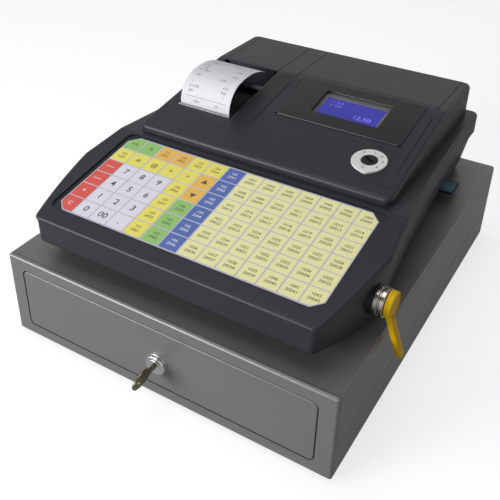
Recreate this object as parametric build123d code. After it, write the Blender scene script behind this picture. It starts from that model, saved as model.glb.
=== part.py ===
from build123d import *
import math
import os

os.makedirs("parts", exist_ok=True)

# A restaurant cash register: a plastic head with a flat keyboard, printer and displays,
# standing on a sheet-steel cash drawer case. Millimetres, +Z up, +X right, +Y to the back.
# While it is modelled, x = 0 is the middle, y = 0 the front face of the case and z = 0 the floor.

# ---------------------------------------------------------------- cash drawer case
case_w = 330.0
case_d = 400.0
case_h = 88.0
sheet_t = 1.2            # steel sheet of the case
fold_r = 2.6             # outer radius of the folds
foot_h = 3.0
foot_r = 8.0
case_foot_inset = 26.0   # from each edge of the case to the middle of a foot
lower_side_h = 32.6      # height of the lower shell's sides
frame_lip = 4.0          # depth of the front frame ahead of the cover
seam_gap = 0.5           # joint between the lower shell and the cover
lap_gap = 0.1            # between sheets that overlap
lap_h = 10.0             # width of the overlap

# ---------------------------------------------------------------- drawer
face_side = 16.5         # frame beside the face
face_low = 12.9          # case bottom to the face's lower edge
face_above = 13.1        # face's upper edge to the case's top
face_r = 5.0
face_gap = 1.0           # round the face, in the frame
face_depth = 11.0        # folded edge of the face
frame_return = 14.0      # folded edge of the frame's opening
box_set_in = 10.5        # drawer body's side, in from the face's end
box_t = 1.0
rear_room = 55.0         # behind the closed drawer, for the opener
box_side_drop = 12.0     # drawer body's side lower than the face is high
box_floor_gap = 1.2      # drawer body above the frame's opening edge

roller_r = 8.0
roller_w = 7.0
roller_pin_r = 2.5
run_gap = 0.05           # radial gap of parts that turn
roller_clear = 2.0       # beside a roller
channel_w = 11.0
channel_t = 1.2
channel_head = 3.5       # drawer profile to the channel's upper flange
case_roller_y = 24.0
rear_roller_in = 15.0    # drawer's rear end to its roller's axis

# ---------------------------------------------------------------- drawer lock
lock_drop = 5.7          # lock's axis below the middle of the face
lock_disc_r = 9.8
lock_disc_len = 4.0
lock_ring_r = 10.1
lock_ring_t = 1.0
lock_body_r = 8.0
plug_r = 6.4
plug_proud = 0.5
cam_reach = 3.2          # cam's tip beyond the frame's edge when it is turned down
cam_w = 11.0
cam_gap = 1.0            # beside the swinging cam
cam_t = 1.4
nut_t = 2.5
key_tilt = 11.0          # degrees that the key leans from upright
key_t = 2.0
key_blade_w = 6.5
key_bow_l = 24.0
key_bow_w = 18.0
key_bow_out = 21.0       # face of the case to the middle of the bow
key_hole_r = 2.4
keyway_gap = 0.1

# ---------------------------------------------------------------- till insert
insert_gap = 1.0
insert_t = 2.0
insert_drop = 4.0        # insert lower than the drawer's side is high
coin_len = 124.0
coin_tray_drop = 6.0     # coin tray's top below the insert's
note_bays = 4
coin_rows = 2
clip_rod_r = 2.5
clip_rod_in = 25.0       # drawer's rear end to the rod
clip_rod_down = 6.0      # insert's top to the rod's axis
clip_hub_r = 4.2
clip_reach = 88.0
clip_w = 16.0
clip_pad_w = 34.0
clip_t = 2.0

# ---------------------------------------------------------------- drawer opener
pivot_in = 28.0          # case's rear face to the pivot
pivot_down = 33.0        # case's top to the pivot
pivot_r = 2.5
hook_reach = 20.5        # pivot to the hook's tooth
hook_w = 10.0
rear_arm = 13.0          # pivot to the plunger's axis
plunger_r = 3.0
neck_r = 1.5
coil_w = 22.0
bracket_w = 31.0
bracket_t = 1.5
striker_down = 9.0       # pivot to the top of the striker's upstand
striker_out = 13.0       # drawer's rear end to the striker's upstand
striker_w = 16.0
striker_t = 2.0
coil_down = 14.3         # pivot to the coil's top
spring_x = 62.0
spring_h = 22.0          # above the case's underside
spring_r = 7.0
spring_wire_r = 0.8
spring_turns = 7

# ---------------------------------------------------------------- head: shells
shell_t = 2.6
head_foot_in = 28.0      # from each edge of the head's rear to the middle of a foot
head_foot_span = 220.0   # between front and rear feet
head_front_y = 12.5
head_rear_room = 12.0    # head's rear to the case's rear
head_side_room = 8.6     # widest place of the head to the case's side
front_taper = 18.9       # half width lost from the bend to the front corners
rear_taper = 16.4        # and to the rear
bend_y = 105.0
front_bulge = 2.2        # how far the front flanks swell out of a straight line
rear_hollow = 4.3        # how far the rear flanks fall in from a straight line
front_corner_r = 6.0
bend_r = 14.0
rear_corner_r = 8.0
deck_slope = 9.41        # degrees
deck_front_h = 40.8      # head's underside to the deck's front edge, before its rounding
deck_level_y = 151.5     # where the deck turns level
deck_fall = 3.0          # drop of the level part to the rear
deck_edge_r = 2.6
part_front_h = 37.6      # head's underside to the shells' joint at the front
part_bend_h = 49.6       # and at the bend
part_rear_h = 40.5       # and at the rear
base_set_in = 0.6        # lower shell behind the upper one
draft_front = 2.5        # set-in of the lower shell at its bottom: front, bend, rear, back wall
draft_bend = 4.2
draft_rear = 9.5
draft_back = 4.0
chin_y = 76.0            # where the rising front underside starts
chin_h = 14.5            # how much the underside has risen at the front
chin_edge_r = 3.6

# ---------------------------------------------------------------- head: keyboard
key_side_room = 7.3      # outer keys to the front corners
key_pitch_y = 19.2
key_cols = 14
key_rows = 6
sheet_margin = 0.9
sheet_cut = 9.0          # cut corners of the printed sheet
sheet_front = 18.3       # along the deck, from its front edge to the sheet
recess_depth = 1.5
recess_side = 5.2
recess_front = 2.2
recess_rear = 3.0
recess_r = 9.0
sheet_film_t = 0.5
membrane_t = 1.1
key_plate_t = 1.2
window_rim = 4.0         # the shell's rim under the sheet

# ---------------------------------------------------------------- head: module
module_front_y = 158.0
module_rear_room = 8.0   # module's rear to the head's rear
module_front_room = 24.1 # half width less than the head's widest place
module_side_room = 11.1  # half width less than the head's rear
module_rise = 5.7        # roof above the deck's slope line
roof_bend_ahead = 1.7    # where the roof turns flat, behind the cover's front edge
module_t = 2.5
module_corner_r = 7.5
roof_edge_r = 4.0
roof_bend_r = 60.0
groove_gap = 0.6
line_w = 0.7             # fine lines in the roof: grooves to the rear, beads across
line_depth = 0.5
bead_w = 0.9
bead_h = 0.35
line_front_share = 0.2162    # front line of the display side, along the module's depth
line_window_share = 0.2896   # short line ahead of the window panel
line_dial_share = 0.0698     # short line ahead of the dial
line_right_out = 2.5     # right line runs out from the display side's edge to the front

cover_side_room = 10.4   # cover to the module's left side
cover_w = 64.2
cover_share = 0.6306     # cover's front edge along the module's depth
cover_skirt = 10.0
cover_barrel_r = 3.2     # hinge barrel along the cover's lower rear edge
cover_barrel_gap = 0.9
hinge_pin_r = 1.6
well_share = 0.2027      # well's front edge along the module's depth
well_edge_in = 1.2       # well's right edge inside the cover's
well_edge_r = 3.2        # its rounding
well_wall_t = 1.5
well_wall_h = 11.0
cover_apron = 22.5       # roof to the lower edge of the apron under the cover's front edge
cover_apron_in = 4.0     # apron narrower at each side

panel_gap = 22.0         # printer cover to the display side of the roof
panel_side_room = 9.1    # display side to the module's right side
seam_behind = 5.5        # display side's seam behind the printer cover's front edge
tilt_axis_back = 3.6     # hinge axis behind the seam
tilt_axis_down = 2.9
tilt_block_h = 24.0
tilt_corner_r = 2.0

window_left = 12.8       # display side's edge to the window panel
window_right = 9.8
window_share = 0.3225    # window panel's front edge along the module's depth
window_ahead = 3.9       # window panel's rear edge ahead of the seam
window_t = 2.6
window_proud = 0.9
window_corner_r = 3.6
view_left = 29.9         # window panel's edges to the clear view
view_right = 29.5
view_front = 17.4
view_rear = 14.1
lcd_side = 7.1           # display glass narrower than the clear view
lcd_end = 7.5            # and shorter
lcd_depth = 2.4          # roof's plane to the glass
lcd_ahead = 1.5          # glass ahead of its frame's middle
lcd_rim_w = 8.0          # display's metal frame beside its glass
lcd_rim_l = 9.5
lcd_frame_t = 4.8
lcd_board_rim = 4.0
board_t = 1.6

dial_in = 16.0           # window panel's right edge to the dial
dial_share = 0.1815      # dial's centre along the module's depth
dial_r = 16.2
dial_t = 1.8
dial_lobe_r = 4.5
dial_lobe_out = 13.6
dial_lobe_angle = 279.0
mode_plug_r = 7.3
mode_body_r = 9.0
mode_body_len = 24.0

# ---------------------------------------------------------------- head: printer
paper_w = 57.5
paper_t = 0.25
roll_r = 17.0            # a part-used roll
roll_in = 42.0           # module's rear to the roll's axis
roll_h = 49.0            # above the head's underside
core_r = 6.0
spindle_r = 3.0
platen_r = 5.5
platen_back = 8.5        # well's front edge to the platen's axis
platen_h = 57.0
platen_shaft_r = 2.0
gear_teeth = 30
pinion_teeth = 12
gear_module = 0.6
gear_w = 4.0
pinion_shaft_r = 1.0
frame_plate_t = 1.5
head_gap = 0.3           # print head to platen
web_gap = 0.04           # paper to what it passes
guide_down = 2.0         # platen's axis to the paper guide
guide_ahead = 21.0       # paper guide's rear edge ahead of the roll's axis
motor_r = 8.0
motor_len = 13.0
tear_bar_t = 0.7

# ---------------------------------------------------------------- head: side lock and card
waiter_y = 86.5
waiter_h = 25.5          # above the head's underside
collar_r = 12.4
collar_out = 9.0
collar_body_r = 9.5
key_disc_r = 11.6
key_disc_t = 6.5
key_disc_rim = 1.4       # round the shallow dish of its face
key_dish = 0.7
key_stub_r = 6.0
key_arm_len = 50.0
key_arm_w = 8.0
key_arm_t = 5.2
key_arm_lean = 15.0      # degrees that the arm stands off from upright
key_arm_swing = 8.5      # degrees that the arm slants from the disc's front edge
card_w = 24.0
card_len = 32.0
card_t = 2.1
card_out = 14.0
card_in = 75.0           # head's rear to the card's middle
card_h = 5.6             # above the head's underside
slot_gap = 0.7

screw_r = 1.5
screw_head_r = 2.8
rocker_tilt = -10.0
screw_bite = 4.0         # into the upper shell's bosses
boss_r = 4.0
head_screw_in = 15.4     # widest place of the head to the front screws
head_screw_back = 8.0    # and behind it
rear_screw_in = 9.5      # head's rear corners to the rear screws
rear_screw_ahead = 126.0

supply_core_h = 49.0
supply_coil_l = 32.0
supply_side = 62.3       # display side's edge to the transformer
supply_w = 66.0
supply_ahead = 68.0      # module's rear to the transformer's front
supply_l = 54.0
supply_foot = 8.0
board_side = 46.4        # slot's middle to the main board
board_right = 10.9       # module's right side to the main board
board_front_y = 120.0
board_ahead = 8.0        # main board's rear edge ahead of the printer cover
board_raise = 6.0        # main board above the shell's floor
# components of the main board: share of its width and depth, width, depth, height
board_parts = ((0.25, 0.24, 30.0, 30.0, 3.0), (0.57, 0.24, 24.0, 14.0, 3.0), (0.57, 0.47, 24.0, 14.0, 3.0),
               (0.82, 0.76, 16.0, 16.0, 10.0), (0.32, 0.65, 40.0, 12.0, 9.0), (0.10, 0.47, 12.0, 50.0, 7.0),
               (0.79, 0.12, 40.0, 8.0, 9.0))
# windows in the rear wall: middle from the head's middle, width, height
port_sizes = ((-88.0, 16.0, 13.0), (-65.5, 13.0, 12.0), (27.0, 14.0, 12.0), (72.0, 24.0, 14.0))
port_h = 12.0            # windows' lower edges above the head's underside

# ---------------------------------------------------------------- values that follow
case_z = foot_h
case_top = case_z + case_h
head_z = case_top + foot_h
seam_z = case_z + lower_side_h
half_case = case_w / 2
face_w = case_w - 2 * face_side
face_h = case_h - face_low - face_above
box_w = face_w - 2 * box_set_in
box_len = case_d - rear_room - face_depth
box_side_h = face_h - box_side_drop
lock_height = face_low + face_h / 2 - lock_drop
cam_len = lock_height - face_low + face_gap + cam_reach
insert_h = box_side_h - insert_drop
clip_rod_h = insert_h - clip_rod_down
pivot_y = case_d - pivot_in
pivot_h = case_h - pivot_down
striker_top = pivot_h - striker_down
face_z0 = case_z + face_low
face_z1 = face_z0 + face_h
open_z0 = face_z0 - face_gap
box_z = open_z0 + box_floor_gap
box_y0 = face_depth
box_y1 = box_y0 + box_len
half_box = box_w / 2
clip_rod_y = box_y1 - clip_rod_in
drawer_roller_y = box_y1 - rear_roller_in
lock_z = case_z + lock_height
slope = math.radians(deck_slope)
bend_half_w = half_case - head_side_room
front_half_w = bend_half_w - front_taper
rear_half_w = bend_half_w - rear_taper
head_rear_y = case_d - head_rear_room
deck_front_z = head_z + deck_front_h
key_pitch_x = 2 * (front_half_w - key_side_room) / key_cols
module_front_half = bend_half_w - module_front_room
module_rear_half = rear_half_w - module_side_room
module_rear_y = head_rear_y - module_rear_room


def module_y(share):
    """Depth of a place that lies at a share of the module's length."""
    return module_front_y + share * (module_rear_y - module_front_y)


cover_front_y = module_y(cover_share)
well_front_y = module_y(well_share)
slot_centre_x = -module_rear_half + cover_side_room + cover_w / 2
panel_x0 = slot_centre_x + cover_w / 2 + panel_gap
panel_x1 = module_rear_half - panel_side_room
seam_y = cover_front_y + seam_behind
window_x0, window_x1 = panel_x0 + window_left, panel_x1 - window_right
window_y0, window_y1 = module_y(window_share), seam_y - window_ahead
view_x0, view_x1 = window_x0 + view_left, window_x1 - view_right
view_y0, view_y1 = window_y0 + view_front, window_y1 - view_rear
lcd_w, lcd_l = view_x1 - view_x0 - lcd_side, view_y1 - view_y0 - lcd_end
dial_x, dial_y = window_x1 - dial_in, module_y(dial_share)
roll_y = module_rear_y - roll_in
platen_y = well_front_y + platen_back
card_y = head_rear_y - card_in
roof_bend_y = cover_front_y + roof_bend_ahead
roof_z = deck_front_z + module_rise + (roof_bend_y - head_front_y) * math.tan(slope)
roof_h = roof_z - head_z


def deck_line_z(y):
    """Height of the sloping deck, prolonged."""
    return deck_front_z + (y - head_front_y) * math.tan(slope)


def roof_line_z(y):
    """Height of the module's roof: a slope parallel to the deck, then flat."""
    return min(deck_line_z(y) + module_rise, roof_z)


def deck_level_z(y):
    """Height of the level ledge round the module."""
    run = (y - deck_level_y) / (head_rear_y - deck_level_y)
    return deck_line_z(deck_level_y) - deck_fall * run


# ---------------------------------------------------------------- shapes used throughout
def block(x0, x1, y0, y1, z0, z1):
    return Pos((x0 + x1) / 2, (y0 + y1) / 2, (z0 + z1) / 2) * Box(x1 - x0, y1 - y0, z1 - z0)


def rod_x(x0, x1, y, z, r):
    return Pos((x0 + x1) / 2, y, z) * Rot(0, 90, 0) * Cylinder(r, x1 - x0)


def rod_y(x, y0, y1, z, r):
    return Pos(x, (y0 + y1) / 2, z) * Rot(90, 0, 0) * Cylinder(r, y1 - y0)


def rod_z(x, y, z0, z1, r):
    return Pos(x, y, (z0 + z1) / 2) * Cylinder(r, z1 - z0)


def both_sides(solid):
    return [solid, mirror(solid, about=Plane.YZ)]


def side_view(points, x0, x1):
    """Solid whose side view is the polygon of (y, z) points."""
    outline = Plane.YZ.offset(x0) * make_face(Polyline(*points, close=True))
    return extrude(outline, x1 - x0)


def upright_plate(w, h, r, x, z, y0, y1):
    """Rounded rectangle in the XZ plane, from y0 back to y1."""
    face = Plane(origin=(x, y1, z), x_dir=(1, 0, 0), z_dir=(0, -1, 0)) * RectangleRounded(w, h, r)
    return extrude(face, y1 - y0)


def sloped_plane(x, y, z):
    """Plane on the slope, with its x to the right and its y up the slope."""
    return Plane(origin=(x, y, z), x_dir=(1, 0, 0), z_dir=(0, -math.sin(slope), math.cos(slope)))


def roof_plane(x, y):
    return sloped_plane(x, y, roof_line_z(y))


def only_solid(shape):
    """The largest solid of a shape."""
    return max(shape.solids(), key=lambda s: s.volume)


# ---------------------------------------------------------------- the case
def case_skin():
    """Closed sheet-steel skin of the case, before it is parted into shell and cover."""
    outer = block(-half_case, half_case, 0, case_d, case_z, case_top)
    inner = block(-half_case + sheet_t, half_case - sheet_t, sheet_t, case_d - sheet_t,
                  case_z + sheet_t, case_top - sheet_t)
    return fillet(outer.edges(), fold_r) - fillet(inner.edges(), fold_r - sheet_t)


def cover_zone(gap):
    """Space that belongs to the cover, narrowed by a gap at its seams."""
    return block(-half_case - 1, half_case + 1, frame_lip + gap, case_d + 1,
                 seam_z + gap, case_top + 1)


def make_case_cover():
    return only_solid(case_skin() & cover_zone(seam_gap))


def case_laps():
    """Set-in edges of the lower shell that carry the cover."""
    side_x = half_case - sheet_t - lap_gap
    laps = []
    for sign in (-1, 1):
        x_out, x_in = sign * side_x, sign * (side_x - sheet_t)
        low, high = min(x_out, x_in), max(x_out, x_in)
        edge = sign * (half_case - sheet_t / 2)
        shelf_x = (min(x_in, edge), max(x_in, edge))
        laps.append(block(*shelf_x, frame_lip, case_d - fold_r, seam_z - sheet_t, seam_z))
        laps.append(block(low, high, sheet_t, case_d - 2 * sheet_t, seam_z - sheet_t, seam_z + lap_h))
        laps.append(block(low, high, sheet_t, frame_lip + lap_h, seam_z, case_top - fold_r - lap_h))
        laps.append(block(min(x_in, edge), max(x_in, edge), frame_lip - sheet_t, frame_lip,
                          seam_z - sheet_t, case_top - fold_r - lap_h))
    rear_y = case_d - sheet_t - lap_gap
    span = half_case - fold_r
    laps.append(block(-span, span, rear_y - sheet_t, case_d - sheet_t / 2, seam_z - sheet_t, seam_z))
    laps.append(block(-span, span, rear_y - sheet_t, rear_y, seam_z - sheet_t, seam_z + lap_h))
    top_z = case_top - sheet_t - lap_gap
    reach = half_case - fold_r - lap_h
    laps.append(block(-reach, reach, frame_lip - sheet_t, frame_lip, top_z - sheet_t, case_top - sheet_t / 2))
    laps.append(block(-reach, reach, frame_lip - sheet_t, frame_lip + lap_h, top_z - sheet_t, top_z))
    return laps


def make_case_tray():
    """Lower shell: floor, lower sides, rear wall and the front frame with its opening."""
    tray = only_solid(case_skin() - cover_zone(0))
    for lap in case_laps():
        tray += lap
    open_w, open_h, open_r = face_w + 2 * face_gap, face_h + 2 * face_gap, face_r + face_gap
    mid_z = face_z0 + face_h / 2
    collar = upright_plate(open_w + 2 * sheet_t, open_h + 2 * sheet_t, open_r + sheet_t, 0, mid_z,
                           sheet_t / 2, frame_return)
    tray += collar
    tray -= upright_plate(open_w, open_h, open_r, 0, mid_z, -1, frame_return + 1)
    cam_y = lock_cam_y()
    tray -= block(-cam_w / 2 - cam_gap, cam_swing(lock_z - open_z0), cam_y - cam_gap, cam_y + cam_t + cam_gap,
                  open_z0 - 2 * sheet_t, open_z0 + 1)
    tray += rod_y(spring_x, case_d - sheet_t - 12, case_d - sheet_t / 2, spring_z(),
                  spring_r - 2 * spring_wire_r - run_gap)
    for sign in (-1, 1):
        tray -= rod_y(sign * case_screw_x(), case_d - 3 * sheet_t, case_d + 1, case_screw_z(), screw_r + 0.05)
    return only_solid(tray)


def case_screw_x():
    return half_case - 40


def case_screw_z():
    return seam_z + lap_h / 2


def drill_cover(cover):
    for sign in (-1, 1):
        cover -= rod_y(sign * case_screw_x(), case_d - 3, case_d + 1, case_screw_z(), screw_r + 0.05)
    return cover


def foot_places():
    """Middles of the feet and the height of their undersides: four of the case, four of the head."""
    x, y0, y1 = half_case - case_foot_inset, case_foot_inset, case_d - case_foot_inset
    places = [(sx * x, y, 0.0) for sx in (-1, 1) for y in (y0, y1)]
    x, y1 = rear_half_w - head_foot_in, head_rear_y - head_foot_in
    places += [(sx * x, y, case_top) for sx in (-1, 1) for y in (y1 - head_foot_span, y1)]
    return places


def make_rubber_feet():
    feet = []
    for x, y, z in foot_places():
        foot = rod_z(x, y, z, z + foot_h, foot_r)
        feet.append(fillet(foot.faces().sort_by(Axis.Z)[0].edges(), 0.8))
    return feet


# ---------------------------------------------------------------- runners and rollers
def roller_z():
    """Height of every roller's axis."""
    return box_z + 8.0 + roller_r


def channel_x():
    """Inner face of the rail's web."""
    return half_box + roller_clear + roller_w + roller_clear + 1.5


def channel_floor():
    return roller_z() - roller_r - run_gap


def profile_z():
    """Underside of the drawer's side profile, which runs on the front rollers."""
    return roller_z() + roller_r + run_gap


def roller_x():
    return half_box + roller_clear


def make_case_runners():
    """C rails on stand-offs from the lower shell's sides, each with the front roller's pin."""
    web = channel_x()
    y0, y1 = case_roller_y + roller_r + 3, case_d - 20
    z0 = channel_floor() - channel_t
    z1 = profile_z() + sheet_t + channel_head + channel_t
    rail = block(web, web + channel_t, case_roller_y - 6, y1, z0, z1)
    rail += block(web - channel_w, web + channel_t, y0, y1, z0, z0 + channel_t)
    rail += block(web - channel_w / 2, web + channel_t, y0, y1, z1 - channel_t, z1)
    for y in (60.0, case_d - 90.0):
        rail += block(web + channel_t / 2, half_case - sheet_t, y, y + 22, z0, seam_z - 2 * sheet_t)
    rail += rod_x(roller_x() - 0.8, web + channel_t / 2, case_roller_y, roller_z(), roller_pin_r)
    return both_sides(rail)


def roller(y):
    wheel = rod_x(roller_x(), roller_x() + roller_w, y, roller_z(), roller_r)
    wheel = fillet(wheel.edges(), 0.8)
    return wheel - rod_x(roller_x() - 1, roller_x() + roller_w + 1, y, roller_z(), roller_pin_r + run_gap)


def make_case_rollers():
    return both_sides(roller(case_roller_y))


def make_drawer_rollers():
    return both_sides(roller(drawer_roller_y))


# ---------------------------------------------------------------- the drawer
def make_drawer_front():
    """Inset front: a shallow pan with rounded corners, bored for the lock."""
    mid_z = face_z0 + face_h / 2
    pan = upright_plate(face_w, face_h, face_r, 0, mid_z, 0, face_depth)
    pan = fillet(pan.faces().sort_by(Axis.Y)[0].edges(), 0.9)
    pan -= upright_plate(face_w - 2 * sheet_t, face_h - 2 * sheet_t, face_r - sheet_t, 0, mid_z,
                         sheet_t, face_depth + 1)
    pan -= rod_y(0, -1, sheet_t + 1, lock_z, lock_body_r + run_gap)
    pan -= block(-cam_w / 2 - cam_gap, cam_swing(lock_z - face_z0 - sheet_t), sheet_t + 1, face_depth + 1,
                 face_z0 - 1, face_z0 + 2 * sheet_t)
    return only_solid(pan)


def make_drawer_box():
    """Steel drawer body with its side profiles, rear roller pins and the opener's striker."""
    t = box_t
    side_top = box_z + box_side_h
    body = block(-half_box, half_box, box_y0, box_y1, box_z, side_top)
    body -= block(-half_box + t, half_box - t, box_y0 + t, box_y1 - t, box_z + t, side_top + 1)
    body += block(-face_w / 2 + 3, face_w / 2 - 3, box_y0, box_y0 + t, box_z, face_z1 - 2 * sheet_t)
    for sign in (-1, 1):
        x0, x1 = sign * (half_box - t / 2), sign * (roller_x() + roller_w + 0.5)
        low, high = min(x0, x1), max(x0, x1)
        body += block(low, high, box_y0 + t / 2, box_y1 - 3, profile_z(), profile_z() + sheet_t)
        pin = rod_x(half_box - t / 2, roller_x() + roller_w + 0.8, drawer_roller_y, roller_z(), roller_pin_r)
        body += pin if sign > 0 else mirror(pin, about=Plane.YZ)
    half, top = striker_w / 2, case_z + striker_top
    body += block(-half, half, box_y1 - t / 2, box_y1 + striker_out, top - 3 * striker_t, top - 2 * striker_t)
    body += block(-half, half, box_y1 + striker_out - striker_t, box_y1 + striker_out,
                  top - 2.5 * striker_t, top)
    return only_solid(body)


def lock_cam_y():
    return face_depth - 1.2 - cam_t


def cam_swing(drop):
    """How far to the side the swinging cam first reaches a level below its axis, with its gap."""
    return math.sqrt(max(cam_len ** 2 + (cam_w / 2) ** 2 - drop ** 2, cam_w ** 2)) + cam_gap


def make_lock_collar():
    """Chromed lock body: ring and round head outside, threaded barrel inside."""
    head = rod_y(0, -lock_disc_len, -lock_ring_t, lock_z, lock_disc_r)
    head = fillet(head.faces().sort_by(Axis.Y)[0].edges(), 1.8)
    ring = rod_y(0, -lock_ring_t, 0, lock_z, lock_ring_r)
    ring = fillet(ring.faces().sort_by(Axis.Y)[0].edges(), 0.6)
    barrel = rod_y(0, -lock_ring_t, lock_cam_y() - 0.4, lock_z, lock_body_r)
    return (head + ring + barrel) - rod_y(0, -lock_disc_len - 1, lock_cam_y() + 1, lock_z, plug_r + run_gap)


def key_frame():
    """Plane of the key: its x runs out of the lock, its y up along the leaning blade."""
    lean = math.radians(key_tilt)
    up = Vector(math.sin(lean), 0, math.cos(lean))
    out = Vector(0, -1, 0)
    return Plane(origin=(0, 0, lock_z), x_dir=out, z_dir=out.cross(up))


def make_lock_plug():
    """Turning plug with its keyway."""
    plug = rod_y(0, -lock_disc_len - plug_proud, lock_cam_y(), lock_z, plug_r)
    plug = fillet(plug.faces().sort_by(Axis.Y)[0].edges(), 0.5)
    way = key_frame() * Pos(lock_disc_len / 2, 0, 0) * Box(
        lock_disc_len + 12, key_blade_w + 2 * keyway_gap, key_t + 2 * keyway_gap)
    return plug - way


def make_lock_cam():
    """Locking cam on the plug's rear: turned down, it stands in the slot of the frame."""
    y0 = lock_cam_y()
    cam = block(0, cam_len, y0, y0 + cam_t, lock_z - cam_w / 2, lock_z + cam_w / 2)
    cam += rod_y(0, y0, y0 + cam_t, lock_z, cam_w / 2)
    return only_solid(cam)


def make_lock_nut():
    hexagon = Plane(origin=(0, sheet_t + nut_t, lock_z), x_dir=(1, 0, 0), z_dir=(0, -1, 0)) * RegularPolygon(
        lock_body_r + 2.5, 6, major_radius=False)
    nut = extrude(hexagon, nut_t)
    return nut - rod_y(0, 0, sheet_t + nut_t + 1, lock_z, lock_body_r)


def make_drawer_key():
    """Flat key in the lock: blade in the keyway, oval bow with its ring hole."""
    blade = key_frame() * Pos(lock_disc_len + 1, 0, 0) * Box(18, key_blade_w, key_t)
    bow = key_frame() * Pos(key_bow_out, 0, -key_t / 2) * extrude(Ellipse(key_bow_l / 2, key_bow_w / 2), key_t)
    bow = fillet(bow.edges(), 0.5)
    hole = key_frame() * Pos(key_bow_out + key_bow_l / 4, 0, 0) * Cylinder(key_hole_r, key_t + 1)
    return only_solid(blade + bow - hole)


# ---------------------------------------------------------------- till insert and note clips
def insert_box():
    """Low and high corners of the insert: x, y, z."""
    x = half_box - box_t - insert_gap
    z0 = box_z + box_t
    return (-x, x), (box_y0 + box_t + insert_gap, box_y1 - box_t - insert_gap), (z0, z0 + insert_h)


def bay_edges():
    (x0, x1), _, _ = insert_box()
    step = (x1 - x0 - insert_t) / note_bays
    return [x0 + insert_t / 2 + i * step for i in range(note_bays + 1)]


def make_till_insert():
    """Plastic insert: four note bays at the rear, an open bay for the coin tray in front."""
    (x0, x1), (y0, y1), (z0, z1) = insert_box()
    split = y0 + insert_t + coin_len
    body = fillet(block(x0, x1, y0, y1, z0, z1).edges().filter_by(Axis.Z), 3)
    coin_bay = block(x0 + insert_t, x1 - insert_t, y0 + insert_t, split, z0 + insert_t, z1 + 1)
    body -= fillet(coin_bay.edges().filter_by(Axis.Z), 1.5)
    edges = bay_edges()
    for left, right in zip(edges, edges[1:]):
        bay = block(left + insert_t / 2, right - insert_t / 2, split + insert_t, y1 - insert_t,
                    z0 + insert_t, z1 + 1)
        body -= fillet(bay.edges().filter_by(Axis.Z), 3)
    body -= rod_x(x0 - 1, x1 + 1, clip_rod_y, z0 + clip_rod_h, clip_rod_r)
    return only_solid(body)


def make_coin_tray():
    """Lift-out tray of rounded coin cups."""
    (x0, x1), (y0, _), (z0, _) = insert_box()
    gap = insert_t + 0.5
    cx0, cx1 = x0 + gap, x1 - gap
    cy0, cy1 = y0 + gap, y0 + insert_t + coin_len - 0.5
    cz0 = z0 + insert_t
    cz1 = cz0 + insert_h - insert_t - coin_tray_drop
    tray = fillet(block(cx0, cx1, cy0, cy1, cz0, cz1).edges().filter_by(Axis.Z), 2)
    step_x = (cx1 - cx0 - insert_t) / note_bays
    step_y = (cy1 - cy0 - insert_t) / coin_rows
    for i in range(note_bays):
        for j in range(coin_rows):
            left, near = cx0 + insert_t + i * step_x, cy0 + insert_t + j * step_y
            cup = block(left, left + step_x - insert_t, near, near + step_y - insert_t, cz0 + 2, cz1 + 30)
            low_edges = cup.edges().filter_by(Axis.X).group_by(Axis.Z)[0]
            cup = fillet(low_edges, 18)
            tray -= cup
    return only_solid(tray)


def make_clip_rod():
    (x0, x1), _, (z0, _) = insert_box()
    return rod_x(x0 + 0.2, x1 - 0.2, clip_rod_y, z0 + clip_rod_h, clip_rod_r)


def make_note_clip(index):
    """Note clip: hub on the rod, arm down to the notes, wide pad at its end."""
    edges = bay_edges()
    x = (edges[index] + edges[index + 1]) / 2
    _, _, (z0, _) = insert_box()
    rod_z_here = z0 + clip_rod_h
    low = z0 + insert_t + 1.2
    tip_y = clip_rod_y - clip_reach
    arm = side_view([(clip_rod_y - 1, rod_z_here - clip_hub_r), (tip_y + 14, low), (tip_y, low),
                     (tip_y - 3, low + 4), (tip_y - 1.5, low + 5), (tip_y + 1, low + clip_t),
                     (tip_y + 14.5, low + clip_t), (clip_rod_y - 1, rod_z_here - clip_hub_r + clip_t * 1.5)],
                    x - clip_w / 2, x + clip_w / 2)
    pad = block(x - clip_pad_w / 2, x + clip_pad_w / 2, tip_y, tip_y + 13, low, low + clip_t)
    hub = rod_x(x - clip_w / 2, x + clip_w / 2, clip_rod_y, rod_z_here, clip_hub_r)
    bore = rod_x(x - clip_w, x + clip_w, clip_rod_y, rod_z_here, clip_rod_r + run_gap)
    return only_solid(arm + pad + hub - bore)


# ---------------------------------------------------------------- drawer opener
def pivot_z():
    return case_z + pivot_h


def spring_z():
    return case_z + spring_h


def make_latch_bracket():
    """Folded bracket on the case floor with the hook's pivot pin."""
    floor = case_z + sheet_t
    half = bracket_w / 2
    base = block(-half, half, pivot_y - 10, case_d - 5, floor, floor + bracket_t)
    cheeks = both_sides(block(half - bracket_t, half, pivot_y - 6, pivot_y + 8, floor, pivot_z() + 6))
    pin = rod_x(-half, half, pivot_y, pivot_z(), pivot_r)
    return only_solid(base + cheeks[0] + cheeks[1] + pin)


def make_latch_hook():
    """Lever on the pin: a tooth ahead of the striker, an arm behind for the plunger."""
    z = pivot_z()
    tooth_y = pivot_y - hook_reach
    tooth_low = case_z + striker_top + 1
    lever = side_view([(tooth_y - 2, z + 3), (tooth_y - 2, tooth_low), (tooth_y + 0.5, tooth_low),
                       (tooth_y + 3, z - 3), (pivot_y - 3, z - 4.5), (pivot_y + 4, z - 4.5),
                       (pivot_y + rear_arm + 4, z - 2), (pivot_y + rear_arm + 4, z + 2),
                       (pivot_y, z + 5)], -hook_w / 2, hook_w / 2)
    slot = block(-neck_r - 0.6, neck_r + 0.6, pivot_y + rear_arm - 3, pivot_y + rear_arm + 2.5, z - 8, z + 8)
    return only_solid(lever - slot - rod_x(-hook_w, hook_w, pivot_y, z, pivot_r + run_gap))


def coil_z():
    return case_z + sheet_t + bracket_t, pivot_z() - coil_down


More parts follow.
